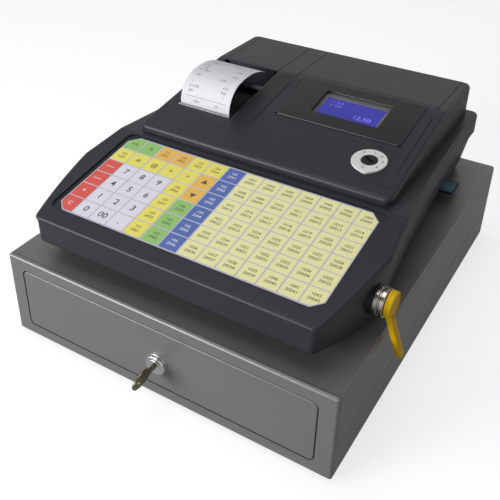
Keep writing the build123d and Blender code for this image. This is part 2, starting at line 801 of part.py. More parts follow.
def make_solenoid_coil():
    low, high = coil_z()
    y = pivot_y + rear_arm
    coil = block(-coil_w / 2, coil_w / 2, y - 10, y + 10, low, high)
    coil = fillet(coil.edges().filter_by(Axis.Z), 2)
    return coil - rod_z(0, y, low + 6, high + 1, plunger_r + run_gap)


def make_solenoid_plunger():
    """Plunger whose thin neck passes through the lever's slot to a cap above it."""
    low, _ = coil_z()
    y, z = pivot_y + rear_arm, pivot_z()
    plunger = rod_z(0, y, low + 10, z - 5.2, plunger_r)
    neck = rod_z(0, y, z - 5.4, z + 4.2, neck_r)
    return plunger + neck + rod_z(0, y, z + 4.0, z + 5.5, plunger_r + 0.6)


def make_eject_spring():
    """Compression spring between the case's rear wall and the closed drawer."""
    length = case_d - sheet_t - box_y1 - 2 * spring_wire_r - 0.3
    turn = Helix(pitch=length / spring_turns, height=length, radius=spring_r - spring_wire_r)
    start = turn @ 0
    wire = sweep(Plane(origin=start, z_dir=turn % 0) * Circle(spring_wire_r), path=turn)
    return Pos(spring_x, box_y1 + spring_wire_r + 0.15, spring_z()) * Rot(-90, 0, 0) * wire


# ---------------------------------------------------------------- head: shells
def head_outline(a, b, c, y0, y1, z):
    """Plan of the head from its half widths at the front, the bend and the rear, and its two ends."""
    mid_f = ((a + b) / 2 + front_bulge, (y0 + bend_y) / 2)
    mid_r = ((b + c) / 2 - rear_hollow, (bend_y + y1) / 2)
    edges = [Line((-a, y0), (a, y0)), ThreePointArc((a, y0), mid_f, (b, bend_y)),
             ThreePointArc((b, bend_y), mid_r, (c, y1)), Line((c, y1), (-c, y1)),
             ThreePointArc((-c, y1), (-mid_r[0], mid_r[1]), (-b, bend_y)),
             ThreePointArc((-b, bend_y), (-mid_f[0], mid_f[1]), (-a, y0))]
    face = make_face(Curve() + edges)
    face = fillet(face.vertices().group_by(Axis.Y)[0], front_corner_r)
    face = fillet(face.vertices().filter_by_position(Axis.Y, bend_y - 0.5, bend_y + 0.5), bend_r)
    face = fillet([v for v in face.vertices() if v.Y > y1 - 0.5], rear_corner_r)
    return Pos(0, 0, z) * face


def parting_points(shift):
    """Side view of the joint between the two shells, from beyond the front to beyond the rear."""
    front, bend, rear = part_front_h, part_bend_h, part_rear_h
    y0, y1 = head_front_y - 12, head_rear_y + 12
    rise = (bend - front) / (bend_y - head_front_y)
    fall = (rear - bend) / (head_rear_y - bend_y)
    return [(y0, head_z + front + (y0 - head_front_y) * rise + shift), (bend_y, head_z + bend + shift),
            (y1, head_z + rear + (y1 - head_rear_y) * fall + shift)]


def parting_z(y):
    """Height of the joint between the two shells at a depth."""
    (y0, z0), (ym, zm), (y1, z1) = parting_points(0)
    return z0 + (y - y0) * (zm - z0) / (ym - y0) if y < ym else zm + (y - ym) * (z1 - zm) / (y1 - ym)


def top_body(inset, lowered):
    """Body of the upper shell, set in at its walls and lowered at its deck."""
    outline = head_outline(front_half_w - inset, bend_half_w - inset, rear_half_w - inset,
                           head_front_y + inset, head_rear_y - inset, head_z)
    drop = lowered / math.cos(slope)
    y0, y1 = head_front_y - 12, head_rear_y + 12
    profile = parting_points(-1 if inset else 0) + [
        (y1, deck_level_z(y1) - lowered), (deck_level_y, deck_line_z(deck_level_y) - drop),
        (y0, deck_line_z(y0) - drop)]
    return extrude(outline, roof_h) & side_view(profile, -bend_half_w - 5, bend_half_w + 5)


def deck_plane(x, along):
    """Plane on the sloping deck, at a distance along it from the front edge."""
    return sloped_plane(x, head_front_y + along * math.cos(slope), deck_front_z + along * math.sin(slope))


sheet_w = key_cols * key_pitch_x + 2 * sheet_margin - 1.4
sheet_l = key_rows * key_pitch_y + 2 * sheet_margin
sheet_mid = sheet_front + sheet_l / 2


def make_top_shell():
    """Upper shell: deck with the keyboard's recess, skirts, and the module's opening."""
    outer = top_body(0, 0)
    top_edges = [e for e in outer.edges() if min(v.Z - deck_level_z(head_rear_y) for v in e.vertices()) > -1
                 or all(abs(v.Z - deck_line_z(v.Y)) < 0.05 for v in e.vertices())]
    rim = [e for e in top_edges if not (abs(e.center().Y - deck_level_y) < 0.5 and e.length > bend_half_w)]
    shell = fillet(rim, deck_edge_r) - top_body(shell_t, shell_t)
    recess_w = sheet_w + 2 * recess_side
    recess_l = sheet_l + recess_front + recess_rear
    recess_mid = sheet_mid + (recess_rear - recess_front) / 2
    cut = deck_plane(0, recess_mid) * RectangleRounded(recess_w, recess_l, recess_r)
    shell -= extrude(cut, recess_depth, both=True)
    opening = deck_plane(0, sheet_mid) * RectangleRounded(sheet_w - 2 * window_rim, sheet_l - 2 * window_rim, 4)
    shell -= extrude(opening, 3 * shell_t, both=True)
    inner_front = module_front_half - module_t
    inner_rear = module_rear_half - module_t
    hole = make_face(Polyline((-inner_front, module_front_y + module_t), (inner_front, module_front_y + module_t),
                              (inner_rear, module_rear_y - module_t), (-inner_rear, module_rear_y - module_t),
                              close=True))
    shell -= Pos(0, 0, head_z) * extrude(hole, roof_h)
    for x, y in head_screw_places():
        shell += rod_z(x, y, parting_z(y) - 2, min(deck_line_z(y), deck_level_z(y)) - shell_t / 2, boss_r)
        shell -= rod_z(x, y, parting_z(y) - 3, parting_z(y) - 1 + screw_bite, screw_r)
    return only_solid(shell)


def base_body(inset, lift):
    """Body of the lower shell: drafted sides, and an underside that rises to the front."""
    y0, y1 = head_front_y + base_set_in + inset, head_rear_y - base_set_in - inset
    low_face = head_outline(front_half_w - draft_front - inset, bend_half_w - draft_bend - inset,
                            rear_half_w - draft_rear - inset, y0, y1 - draft_back, head_z)
    sides = base_set_in + inset
    top_face = head_outline(front_half_w - sides, bend_half_w - sides, rear_half_w - sides, y0, y1,
                            head_z + part_bend_h)
    below, above = head_front_y - 12, head_rear_y + 12
    chin_slope = chin_h / (chin_y - head_front_y)
    profile = [(below, head_z + chin_h + (head_front_y - below) * chin_slope + lift), (chin_y, head_z + lift),
               (above, head_z + lift)] + parting_points(5 if inset else 0)[::-1]
    return loft([low_face, top_face]) & side_view(profile, -bend_half_w - 5, bend_half_w + 5)


def wall_x(y, z):
    """Outer face of the lower shell's right side at a place, found on its body."""
    probe = base_body(0, 0) & block(0, bend_half_w + 5, y - 0.05, y + 0.05, z - 0.05, z + 0.05)
    return probe.bounding_box().max.X


def make_base_shell():
    """Lower shell, open on top, with the holes of the side lock, card slot and rear sockets."""
    body = base_body(0, 0)
    underside = [f for f in body.faces() if f.normal_at().Z < -0.8]
    rim = [e for f in underside for e in f.edges()
           if not (e.geom_type == GeomType.LINE and abs(e.center().Y - chin_y) < 0.5)]
    body = fillet(rim, chin_edge_r)
    shell = body - base_body(shell_t, shell_t)
    waiter_z = head_z + waiter_h
    x0 = waiter_seat_x()
    shell += rod_x(x0 - 8, x0, waiter_y, waiter_z, collar_r + 0.8) - base_body(shell_t, shell_t)
    shell -= rod_x(x0 - 30, x0 + 10, waiter_y, waiter_z, collar_body_r + run_gap)
    card_z = head_z + card_h
    shell -= block(rear_half_w - 30, bend_half_w, card_y - card_w / 2 - slot_gap, card_y + card_w / 2 + slot_gap,
                   card_z - slot_gap, card_z + card_t + slot_gap)
    for x0, x1, low, high in port_windows():
        shell -= block(x0, x1, head_rear_y - 15, head_rear_y + 5, low, high)
    for x, y in head_screw_places():
        shell += rod_z(x, y, head_z + shell_t / 2, parting_z(y) - 2, boss_r)
        shell -= rod_z(x, y, head_z - 1, parting_z(y) + 1, screw_r + 0.05)
    return only_solid(shell)


def head_screw_places():
    """Middles of the four screws that hold the head's shells together."""
    front = (bend_half_w - head_screw_in, bend_y + head_screw_back)
    rear = (rear_half_w - rear_screw_in, head_rear_y - rear_screw_ahead)
    return [(sx * x, y) for sx in (-1, 1) for x, y in (front, rear)]


def port_wall_y():
    """Inner side of the lower shell's rear wall, less a clearance."""
    return head_rear_y - base_set_in - draft_back - shell_t - 0.4


def port_windows():
    """Openings in the rear wall, x, x, z, z: data socket, opener socket, power inlet, power switch."""
    z = head_z + port_h
    return [(x - w / 2, x + w / 2, z, z + h) for x, w, h in port_sizes]


# ---------------------------------------------------------------- head: keyboard stack
def sheet_face():
    w, l, c = sheet_w / 2, sheet_l / 2, sheet_cut
    return make_face(Polyline((-w + c, -l), (w - c, -l), (w, -l + c), (w, l - c), (w - c, l),
                              (-w + c, l), (-w, l - c), (-w, -l + c), close=True))


def make_key_sheet():
    """Printed film over the whole keyboard."""
    film = extrude(sheet_face(), sheet_film_t)
    return deck_plane(0, sheet_mid) * Pos(0, 0, -recess_depth) * film


def make_membrane():
    """Switch membrane that fills the shell's window under the film."""
    w, l = sheet_w - 2 * window_rim - 0.4, sheet_l - 2 * window_rim - 0.4
    layer = extrude(RectangleRounded(w, l, 4), membrane_t)
    return deck_plane(0, sheet_mid) * Pos(0, 0, -recess_depth - membrane_t) * layer


def make_keyboard_plate():
    """Steel plate under the deck that backs the membrane."""
    plate = extrude(RectangleRounded(sheet_w + 4, sheet_l + 4, 3), key_plate_t)
    return deck_plane(0, sheet_mid) * Pos(0, 0, -shell_t - key_plate_t) * plate


# ---------------------------------------------------------------- head: module
def roof_profile(lowered, ahead, behind, low):
    """Side view of the module between its front and rear walls."""
    y0, y1 = module_front_y + ahead, module_rear_y - behind
    bend = head_front_y + (roof_z - module_rise - deck_front_z) / math.tan(slope)
    points = [(y0, low), (y0, deck_line_z(y0) + module_rise - lowered), (bend, roof_z - lowered),
              (y1, roof_z - lowered), (y1, low)]
    face = make_face(Polyline(*points, close=True))
    corner = [v for v in face.vertices() if abs(v.X - bend) < 0.01]
    return fillet(corner, roof_bend_r)


def module_body(inset, lowered, low):
    """Body of the module: a plan that narrows to the rear, under the roof's side view."""
    y0, y1 = module_front_y + inset, module_rear_y - inset
    a, b = module_front_half - inset, module_rear_half - inset
    plan = make_face(Polyline((-a, y0), (a, y0), (b, y1), (-b, y1), close=True))
    plan = fillet(plan.vertices(), module_corner_r - inset)
    tall = Pos(0, 0, low) * extrude(plan, roof_z + 5 - low)
    side = Plane.YZ.offset(-a - 5) * roof_profile(lowered, inset, inset, low)
    return tall & extrude(side, 2 * (a + 5))


def seat_cut():
    """Everything below the deck, on which the module's walls stand."""
    y0, y1 = module_front_y - 20, module_rear_y + 20
    points = [(y0, head_z), (y1, head_z), (y1, deck_level_z(y1)), (y0, deck_level_z(y0))]
    return side_view(points, -half_case, half_case)


def module_shell():
    """Whole skin of the module, before its covers are parted from it."""
    low = head_z + part_rear_h
    outer = module_body(0, 0, low)
    rim = [e for e in outer.edges() if all(abs(v.Z - roof_line_z(v.Y)) < 0.6 for v in e.vertices())
           and not (e.geom_type == GeomType.LINE and e.length > 240
                    and module_front_y + 9 < e.center().Y < module_rear_y - 9)]
    outer = fillet(rim, roof_edge_r)
    return outer - module_body(module_t, module_t, low - 1) - seat_cut()


def cover_zone_box(gap):
    """Space of the printer cover, narrowed all round by a gap."""
    half = cover_w / 2 - gap
    return block(slot_centre_x - half, slot_centre_x + half, cover_front_y + gap, module_rear_y + 5,
                 roof_z - cover_skirt + gap, roof_z + 5)


def tilt_zone(gap):
    """Space of the customer display, narrowed all round by a gap."""
    return block(panel_x0 + gap, panel_x1 - gap, seam_y + gap, module_rear_y + 5,
                 roof_z - tilt_block_h + gap, roof_z + 5)


def window_plane(x, y):
    return roof_plane(x, y)


def window_sizes():
    w = window_x1 - window_x0
    l = (window_y1 - window_y0) / math.cos(slope)
    return w, l, (window_x0 + window_x1) / 2, (window_y0 + window_y1) / 2


def pin_axis_cover():
    return module_rear_y - cover_barrel_r, roof_z - cover_skirt


def pin_axis_tilt():
    return seam_y + tilt_axis_back, roof_z - tilt_axis_down


def roof_strips(runs, width, height):
    """Bars of a square-edged section along the roof, half above and half below it."""
    bars = []
    for (xa, ya), (xb, yb) in runs:
        start, end = Vector(xa, ya, roof_line_z(ya)), Vector(xb, yb, roof_line_z(yb))
        along = end - start
        plane = Plane(origin=(start + end) / 2, x_dir=along, z_dir=along.cross(Vector(0, 0, 1)))
        bars.append(plane * Box(along.length, 2 * height, width))
    return bars


def roof_grooves():
    """Lines pressed in along both edges of the display side."""
    y_front = module_y(line_front_share)
    return roof_strips((((panel_x0, seam_y), (panel_x0, y_front)),
                        ((panel_x1, seam_y), (panel_x1 + line_right_out, y_front - 10.0))), line_w, line_depth)


def roof_beads():
    """Fine raised lines across the roof: before the display side, the window panel and the dial."""
    y_front, y_window, y_dial = (module_y(s) for s in (line_front_share, line_window_share, line_dial_share))
    return roof_strips((((panel_x0, y_front), (view_x1 - 38.0, y_front)),
                        ((view_x0 + 48.0, y_window), (window_x1 + 3.0, y_window)),
                        ((dial_x - 6.0, y_dial), (panel_x1 + 6.0, y_dial))), bead_w, bead_h)


def well_edge_cutter(x):
    """Rounds the edge between the roof and the well's right wall."""
    along = (0, math.cos(slope), math.sin(slope))
    start = Plane(origin=(x, well_front_y, roof_line_z(well_front_y)), x_dir=(1, 0, 0), z_dir=along)
    lap = 1.0
    corner = Pos((well_edge_r - lap) / 2, (well_edge_r - lap) / 2) * Rectangle(well_edge_r + lap, well_edge_r + lap)
    section = corner - Pos(well_edge_r, well_edge_r + 0.03) * Circle(well_edge_r)
    return extrude(start * section, (cover_front_y - well_front_y) / math.cos(slope))


def make_module_housing():
    """Hood of printer and displays, with its openings and the hinge lugs."""
    hood = module_shell() - cover_zone_box(0) - tilt_zone(0)
    half = cover_w / 2
    x0, x1 = slot_centre_x - half, slot_centre_x + half
    edge = x1 - well_edge_in
    wall_z = roof_line_z(well_front_y) - well_wall_h
    wall = block(edge, edge + well_wall_t, well_front_y, cover_front_y - cover_apron_in, wall_z, roof_z)
    hood += wall & module_body(module_t / 2, module_t / 2, wall_z)
    hood -= block(x0, edge, well_front_y, cover_front_y, wall_z - 1, roof_z + 1)
    hood -= well_edge_cutter(edge)
    w, l, x, y = window_sizes()
    pocket = window_plane(x, y) * Rectangle(w + 0.4, l + 0.4)
    hood -= extrude(pocket, window_t - window_proud, both=True)
    hood -= extrude(window_plane(x, y) * Rectangle(w - 6, l - 6), 4 * module_t, both=True)
    hood -= extrude(roof_plane(dial_x, dial_y) * Circle(mode_body_r + run_gap), 3 * module_t, both=True)
    for groove in roof_grooves():
        hood -= groove
    for bead in roof_beads():
        hood += bead
    cy, cz = pin_axis_cover()
    ty, tz = pin_axis_tilt()
    hood -= rod_x(x0, x1, cy, cz, cover_barrel_r + cover_barrel_gap)
    lug = 4.5
    for side, edge in ((-1, x0), (1, x1)):
        a, b = sorted((edge + side * 0.3, edge + side * 3.3))
        ear = block(a, b, cy - lug, module_rear_y - module_t / 2, cz - lug, roof_z - module_t / 2)
        hood = hood + ear - rod_x(a - 1, b + 1, cy, cz, hinge_pin_r)
    for side, edge in ((-1, panel_x0), (1, panel_x1)):
        a, b = sorted((edge + side * 0.3, edge + side * 3.3))
        ear = block(a, b, ty - 9, ty + lug, tz - lug, roof_z - module_t / 2)
        hood = hood + ear - rod_x(a - 1, b + 1, ty, tz, hinge_pin_r)
    return only_solid(hood)


def make_printer_cover():
    """Cover over the paper roll: roof, rear skirt and two lugs on the hinge pins."""
    cover = module_shell() & cover_zone_box(groove_gap)
    lip_z = roof_z - module_t
    half = cover_w / 2 - groove_gap
    x0, x1 = slot_centre_x - half, slot_centre_x + half
    cover += block(x0 + cover_apron_in, x1 - cover_apron_in, cover_front_y + groove_gap,
                   cover_front_y + groove_gap + 1.6, roof_z - cover_apron, lip_z + 1)
    cy, cz = pin_axis_cover()
    cover += rod_x(x0, x1, cy, cz, cover_barrel_r)
    for a, b in ((x0 - 1, x0 + 5), (x1 - 5, x1 + 1)):
        cover -= rod_x(a, b, cy, cz, hinge_pin_r + run_gap)
    return only_solid(cover)


def make_customer_display():
    """Tilting customer display: a box under the rear roof with a window in its rear."""
    skin = module_shell() & tilt_zone(groove_gap)
    x0, x1 = panel_x0 + groove_gap, panel_x1 - groove_gap
    y0, y1 = seam_y + groove_gap, module_rear_y
    z0 = roof_z - tilt_block_h + groove_gap
    case = block(x0, x1, y0 + 9, y1, z0, roof_z - module_t / 2)
    hollow = block(x0 + 2, x1 - 2, y0 + 11, y1 - 2.5, z0 + 2, roof_z)
    window = block(x0 + 14, x1 - 14, y1 - 3, y1 + 1, z0 + 5, roof_z - roof_edge_r - 3.5)
    display = only_solid(skin) + (case - hollow) - window
    display &= module_body(0, 0, head_z)
    front_edge = [e for e in display.edges() if abs(e.center().Y - y0) < 0.3 and e.center().Z > roof_z - 0.6
                  and e.length > 50]
    display = fillet(front_edge, tilt_corner_r)
    ty, tz = pin_axis_tilt()
    for a in (x0, x1 - 5):
        lug = rod_x(a, a + 5, ty, tz, 2.8) & block(a, a + 5, ty - 3, ty + 3, tz - 3, roof_z - 0.2)
        display += lug
        display += block(a, a + 5, ty, y0 + 12, tz - 2.8, roof_z - module_t / 2)
        display -= rod_x(a - 1, a + 6, ty, tz, hinge_pin_r + run_gap)
    return only_solid(display)


def make_customer_window():
    x0, x1 = panel_x0 + groove_gap + 14, panel_x1 - groove_gap - 14
    z0 = roof_z - tilt_block_h + groove_gap + 5
    z1 = roof_z - roof_edge_r - 3.5
    return block(x0 + 0.1, x1 - 0.1, module_rear_y - 2.4, module_rear_y - 0.3, z0 + 0.1, z1 - 0.1)


def make_hinge_pins():
    """Pins of the printer cover and of the customer display, fast in the hood's lugs."""
    pins = []
    half = cover_w / 2
    cy, cz = pin_axis_cover()
    ty, tz = pin_axis_tilt()
    for edge, inward, y, z in ((slot_centre_x - half, 1, cy, cz), (slot_centre_x + half, -1, cy, cz),
                               (panel_x0, 1, ty, tz), (panel_x1, -1, ty, tz)):
        a, b = sorted((edge - inward * 3.3, edge + inward * 4.0))
        pins.append(rod_x(a, b, y, z, hinge_pin_r))
    return pins


def make_display_window():
    """Tinted window panel of the operator display, stepped at the clear view."""
    w, l, x, y = window_sizes()
    panel = extrude(RectangleRounded(w, l, window_corner_r), window_t)
    panel = fillet(panel.faces().sort_by(Axis.Z)[-1].edges(), 0.6)
    return window_plane(x, y) * Pos(0, 0, window_proud - window_t) * panel


def view_centre():
    return (view_x0 + view_x1) / 2, (view_y0 + view_y1) / 2


def make_lcd_module():
    """Display: glass in its metal frame on a board, hung under the window."""
    x, y = view_centre()
    frame_w, frame_l = lcd_w + 2 * lcd_rim_w, lcd_l + 2 * lcd_rim_l
    here = roof_plane(x, y) * Pos(0, 0, -lcd_depth)
    board = here * Pos(0, 0, -lcd_frame_t - board_t / 2) * Box(
        frame_w + 2 * lcd_board_rim, frame_l + 2 * lcd_board_rim, board_t)
    frame = here * Pos(0, 0, -lcd_frame_t / 2) * Box(frame_w, frame_l, lcd_frame_t)
    shade_top = lcd_depth - (window_t - window_proud)
    shade = here * Pos(0, 0, shade_top / 2 - 0.5) * (
        Box(frame_w, frame_l, shade_top + 1) - Box(frame_w - 3, frame_l - 3, shade_top + 2))
    glass_pocket = here * Pos(0, -lcd_ahead, 0) * Box(lcd_w, lcd_l, 0.8)
    return only_solid(board + frame + shade - glass_pocket)


def make_mode_dial():
    """White ring plate of the mode lock, drawn out to a point."""
    lobe = math.radians(dial_lobe_angle)
    tip = Pos(dial_lobe_out * math.cos(lobe), dial_lobe_out * math.sin(lobe)) * Circle(dial_lobe_r)
    plate = make_hull(Circle(dial_r).edges() + tip.edges()) - Circle(mode_plug_r + 0.5)
    disc = extrude(plate, dial_t)
    disc = fillet(disc.faces().sort_by(Axis.Z)[-1].outer_wire().edges(), 0.5)
    return roof_plane(dial_x, dial_y) * disc


def make_mode_switch():
    """Body of the mode lock under the roof, with its switch wafer."""
    hung = (Align.CENTER, Align.CENTER, Align.MAX)
    body = Cylinder(mode_body_r, mode_body_len, align=hung)
    wafer = Pos(0, 0, -mode_body_len) * Cylinder(mode_body_r + 4, 3, align=hung)
    bore = Pos(0, 0, 1) * Cylinder(mode_plug_r + run_gap, mode_body_len - 1, align=hung)
    under = -module_t * math.cos(slope)
    nut = Pos(0, 0, under) * extrude(RegularPolygon(mode_body_r + 3, 6, major_radius=False), -3)
    return roof_plane(dial_x, dial_y) * only_solid(body + wafer + nut - bore)


def make_mode_plug():
    """Black turning plug of the mode lock with its keyway."""
    plug = Cylinder(mode_plug_r, mode_body_len + dial_t - 3, align=(Align.CENTER, Align.CENTER, Align.MAX))
    plug = fillet(plug.faces().sort_by(Axis.Z)[-1].edges(), 0.6)
    way = Box(1.8, mode_plug_r * 1.35, 16)
    return roof_plane(dial_x, dial_y) * Pos(0, 0, dial_t + 0.6) * Rot(0, 0, 62) * (plug - way)


# ---------------------------------------------------------------- head: printer
def frame_x():
    """Inner faces of the printer's side plates."""
    half = paper_w / 2 + 2.0
    return slot_centre_x - half, slot_centre_x + half


def make_printer_frame():
    """Printer chassis: side plates, floor, and the pegs of the paper roll."""
    x0, x1 = frame_x()
    t = frame_plate_t
    floor = head_z + shell_t
    top = deck_level_z(module_rear_y) + 6
    platen_z = head_z + platen_h
    roll_z = head_z + roll_h
    sides = [(platen_y - 9, floor), (roll_y + roll_r + 3, floor), (roll_y + roll_r + 3, top),
             (roll_y - roll_r, top), (platen_y + 20, platen_z + 8), (platen_y - 9, platen_z + 8)]
    frame = side_view(sides, x0 - t, x0) + side_view(sides, x1, x1 + t)
    frame += block(x0 - t, x1 + t, platen_y - 9, roll_y + roll_r + 3, floor, floor + t)
    frame += block(x0 - t / 2, x1 + t / 2, platen_y + platen_r + 2.5, roll_y - guide_ahead,
                   platen_z - guide_down, platen_z - guide_down + t)
    frame -= rod_x(x0 - t - 1, x1 + t + 1, platen_y, platen_z, platen_shaft_r + run_gap)
    for a, b in ((x0 - t / 2, x0 + 6), (x1 - 6, x1 + t / 2)):
        frame += rod_x(a, b, roll_y, roll_z, spindle_r)
    y, z = pinion_place()
    cheek = cheek_x()
    frame += block(x1, cheek + t, y - motor_r, y + motor_r, floor, floor + t)
    frame += block(cheek, cheek + t, y - motor_r, y + motor_r, floor, z + motor_r)
    frame -= rod_x(cheek - 1, cheek + t + 1, y, z, pinion_shaft_r + run_gap)
    return only_solid(frame)


def make_print_head():
    """Thermal head on its spring plate, ahead of the platen."""
    x0, x1 = frame_x()
    z = head_z + platen_h
    y = platen_y - platen_r - head_gap
    head = block(x0 + 1.5, x1 - 1.5, y - 2.2, y, z - 7, z + 5)
    foot = block(x0, x1, y - 2.2, y + 2, z - 12, z - 7)
    return head + foot


def make_platen_roller():
    """Rubber platen on its steel shaft, which runs in the side plates."""
    x0, x1 = frame_x()
    z = head_z + platen_h
    shaft_end = gear_x() + gear_w + 0.4
    rubber = rod_x(x0 + 0.8, x1 - 0.8, platen_y, z, platen_r)
    return rubber + rod_x(x0 - 3, shaft_end, platen_y, z, platen_shaft_r)


def gear_gap():
    return 0.25


def spur_gear(teeth, bore, x, y, z, turned):
    """Spur gear with straight-flanked teeth, its axis along X."""
    pitch_r = teeth * gear_module / 2
    outer_r, root_r = pitch_r + gear_module * 0.9, pitch_r - gear_module * 1.2
    step = 2 * math.pi / teeth
    points = []
    for i in range(teeth):
        centre = i * step + turned
        for shift, radius in ((-0.27, root_r), (-0.12, outer_r), (0.12, outer_r), (0.27, root_r)):
            angle = centre + shift * step
            points.append((radius * math.cos(angle), radius * math.sin(angle)))
    face = make_face(Polyline(*points, close=True)) - Circle(bore)
    return extrude(Plane(origin=(x, y, z), x_dir=(0, 1, 0), z_dir=(1, 0, 0)) * face, gear_w)


def gear_x():
    return frame_x()[1] + frame_plate_t + 1.0


def pinion_place():
    """Axis of the motor's pinion: behind and below the platen's gear."""
    distance = (gear_teeth + pinion_teeth) * gear_module / 2 + gear_gap()
    across, up = distance * math.cos(pinion_angle()), distance * math.sin(pinion_angle())
    return platen_y + across, head_z + platen_h + up


def pinion_angle():
    return math.radians(-48)


def make_platen_gear():
    turned = pinion_angle()
    return spur_gear(gear_teeth, platen_shaft_r, gear_x(), platen_y, head_z + platen_h, turned)


def make_feed_pinion():
    y, z = pinion_place()
    turned = pinion_angle() + math.pi + math.pi / pinion_teeth
    x0 = gear_x()
    shaft = rod_x(x0, cheek_x() + frame_plate_t + 4, y, z, pinion_shaft_r)
    return only_solid(spur_gear(pinion_teeth, pinion_shaft_r, x0, y, z, turned) + shaft)


def cheek_x():
    """Inner face of the motor's plate, outside the gears."""
    return gear_x() + gear_w + 1.0


def make_feed_motor():
    """Stepper motor on the outer plate, its shaft through the plate to the pinion."""
    y, z = pinion_place()
    x0 = cheek_x() + frame_plate_t
    return rod_x(x0, x0 + motor_len, y, z, motor_r) - rod_x(x0 - 1, x0 + 5, y, z, pinion_shaft_r + run_gap)


def make_tear_bar():
    """Serrated steel tear bar along the front of the paper's way out."""
    z = roof_line_z(well_front_y) - module_t
    pitch = 1.6
    count = int((cover_w - 2 * well_edge_in) / pitch)
    start = slot_centre_x - count * pitch / 2
    points = [(start, -8.0)]
    for i in range(count):
        points += [(start + i * pitch, 0.0), (start + (i + 0.5) * pitch, 0.9)]
    points += [(start + count * pitch, 0.0), (start + count * pitch, -8.0)]
    face = make_face(Polyline(*points, close=True))
    y = well_front_y + tear_bar_t
    return extrude(Plane(origin=(0, y, z + 3.2), x_dir=(1, 0, 0), z_dir=(0, -1, 0)) * face, tear_bar_t)


def make_paper_roll():
    z = head_z + roll_h
    a, b = slot_centre_x - paper_w / 2, slot_centre_x + paper_w / 2
    return rod_x(a, b, roll_y, z, roll_r) - rod_x(a - 1, b + 1, roll_y, z, core_r)


def make_paper_core():
    z = head_z + roll_h
    a, b = slot_centre_x - paper_w / 2, slot_centre_x + paper_w / 2
    return rod_x(a, b, roll_y, z, core_r) - rod_x(a - 1, b + 1, roll_y, z, spindle_r + run_gap)


def web_path(offset):
    """Side view of the paper: from the roll round the platen, up out of the slot, curling back."""
    z = head_z + platen_h
    small = platen_r + head_gap - offset
    large = roll_r + web_gap + paper_t - offset
    lean = math.asin((large - small) / (roll_y - platen_y))
    down = (-math.sin(lean), -math.cos(lean))
    feed = Line((roll_y + large * down[0], head_z + roll_h + large * down[1]),
                (platen_y + small * down[0], z + small * down[1]))
    mid = math.radians(225) - lean / 2
    wrap = ThreePointArc(feed @ 1, (platen_y + small * math.cos(mid), z + small * math.sin(mid)),
                         (platen_y - small, z))
    out = Line(wrap @ 1, (platen_y - small, roof_line_z(well_front_y) + 2))
    bend = JernArc(start=out @ 1, tangent=(0, 1), radius=26.0 - offset, arc_size=-76)
    curl = JernArc(start=bend @ 1, tangent=bend % 1, radius=75.0 - offset, arc_size=-39)
    return feed, wrap, out, bend, curl


def make_receipt_paper():
    """One strip of paper: off the roll, round the platen and out as the receipt."""
    outer, inner = web_path(0.0), web_path(paper_t)
    ends = [Line(outer[-1] @ 1, inner[-1] @ 1), Line(outer[0] @ 0, inner[0] @ 0)]
    face = make_face(Curve() + [*outer, *inner, *ends])
    return extrude(Plane.YZ.offset(slot_centre_x - paper_w / 2) * face, paper_w)


# ---------------------------------------------------------------- head: electronics
def board_box():
    z = head_z + shell_t + board_raise
    return ((slot_centre_x + board_side, module_rear_half - board_right),
            (board_front_y, cover_front_y - board_ahead), (z, z + board_t))


def make_main_board():
    """Main circuit board with its larger components, on the lower shell's posts."""
    (x0, x1), (y0, y1), (z0, z1) = board_box()
    board = block(x0, x1, y0, y1, z0, z1)
    for share_x, share_y, w, l, h in board_parts:
        x, y = x0 + share_x * (x1 - x0), y0 + share_y * (y1 - y0)
        board += block(x - w / 2, x + w / 2, y - l / 2, y + l / 2, z1 - 0.2, z1 + h)
    for x in (x0 + 6, x1 - 6):
        for y in (y0 + 6, y1 - 6):
            board += rod_z(x, y, head_z + shell_t, z0 + 0.2, 3)
    return only_solid(board)


def make_power_supply():
    """Transformer of the power supply on its foot plate."""
    z = head_z + shell_t
    x0, y0 = panel_x0 + supply_side, module_rear_y - supply_ahead
    x1, y1 = x0 + supply_w, y0 + supply_l
    foot_t, rim = supply_foot / 4, supply_foot * 3 / 4
    coil_z0 = z + (supply_core_h - supply_coil_l) / 2
    foot = block(x0 - supply_foot, x1 + supply_foot, y0, y1, z, z + foot_t)
    core = block(x0, x1, y0 + rim, y1 - rim, z + foot_t / 2, z + supply_core_h + 1)
    coil = block(x0 + 2 * rim, x1 - 2 * rim, y0 - foot_t, y1 + foot_t, coil_z0, coil_z0 + supply_coil_l)
    coil = fillet(coil.edges().filter_by(Axis.X), rim)
    return only_solid(foot + core + coil)


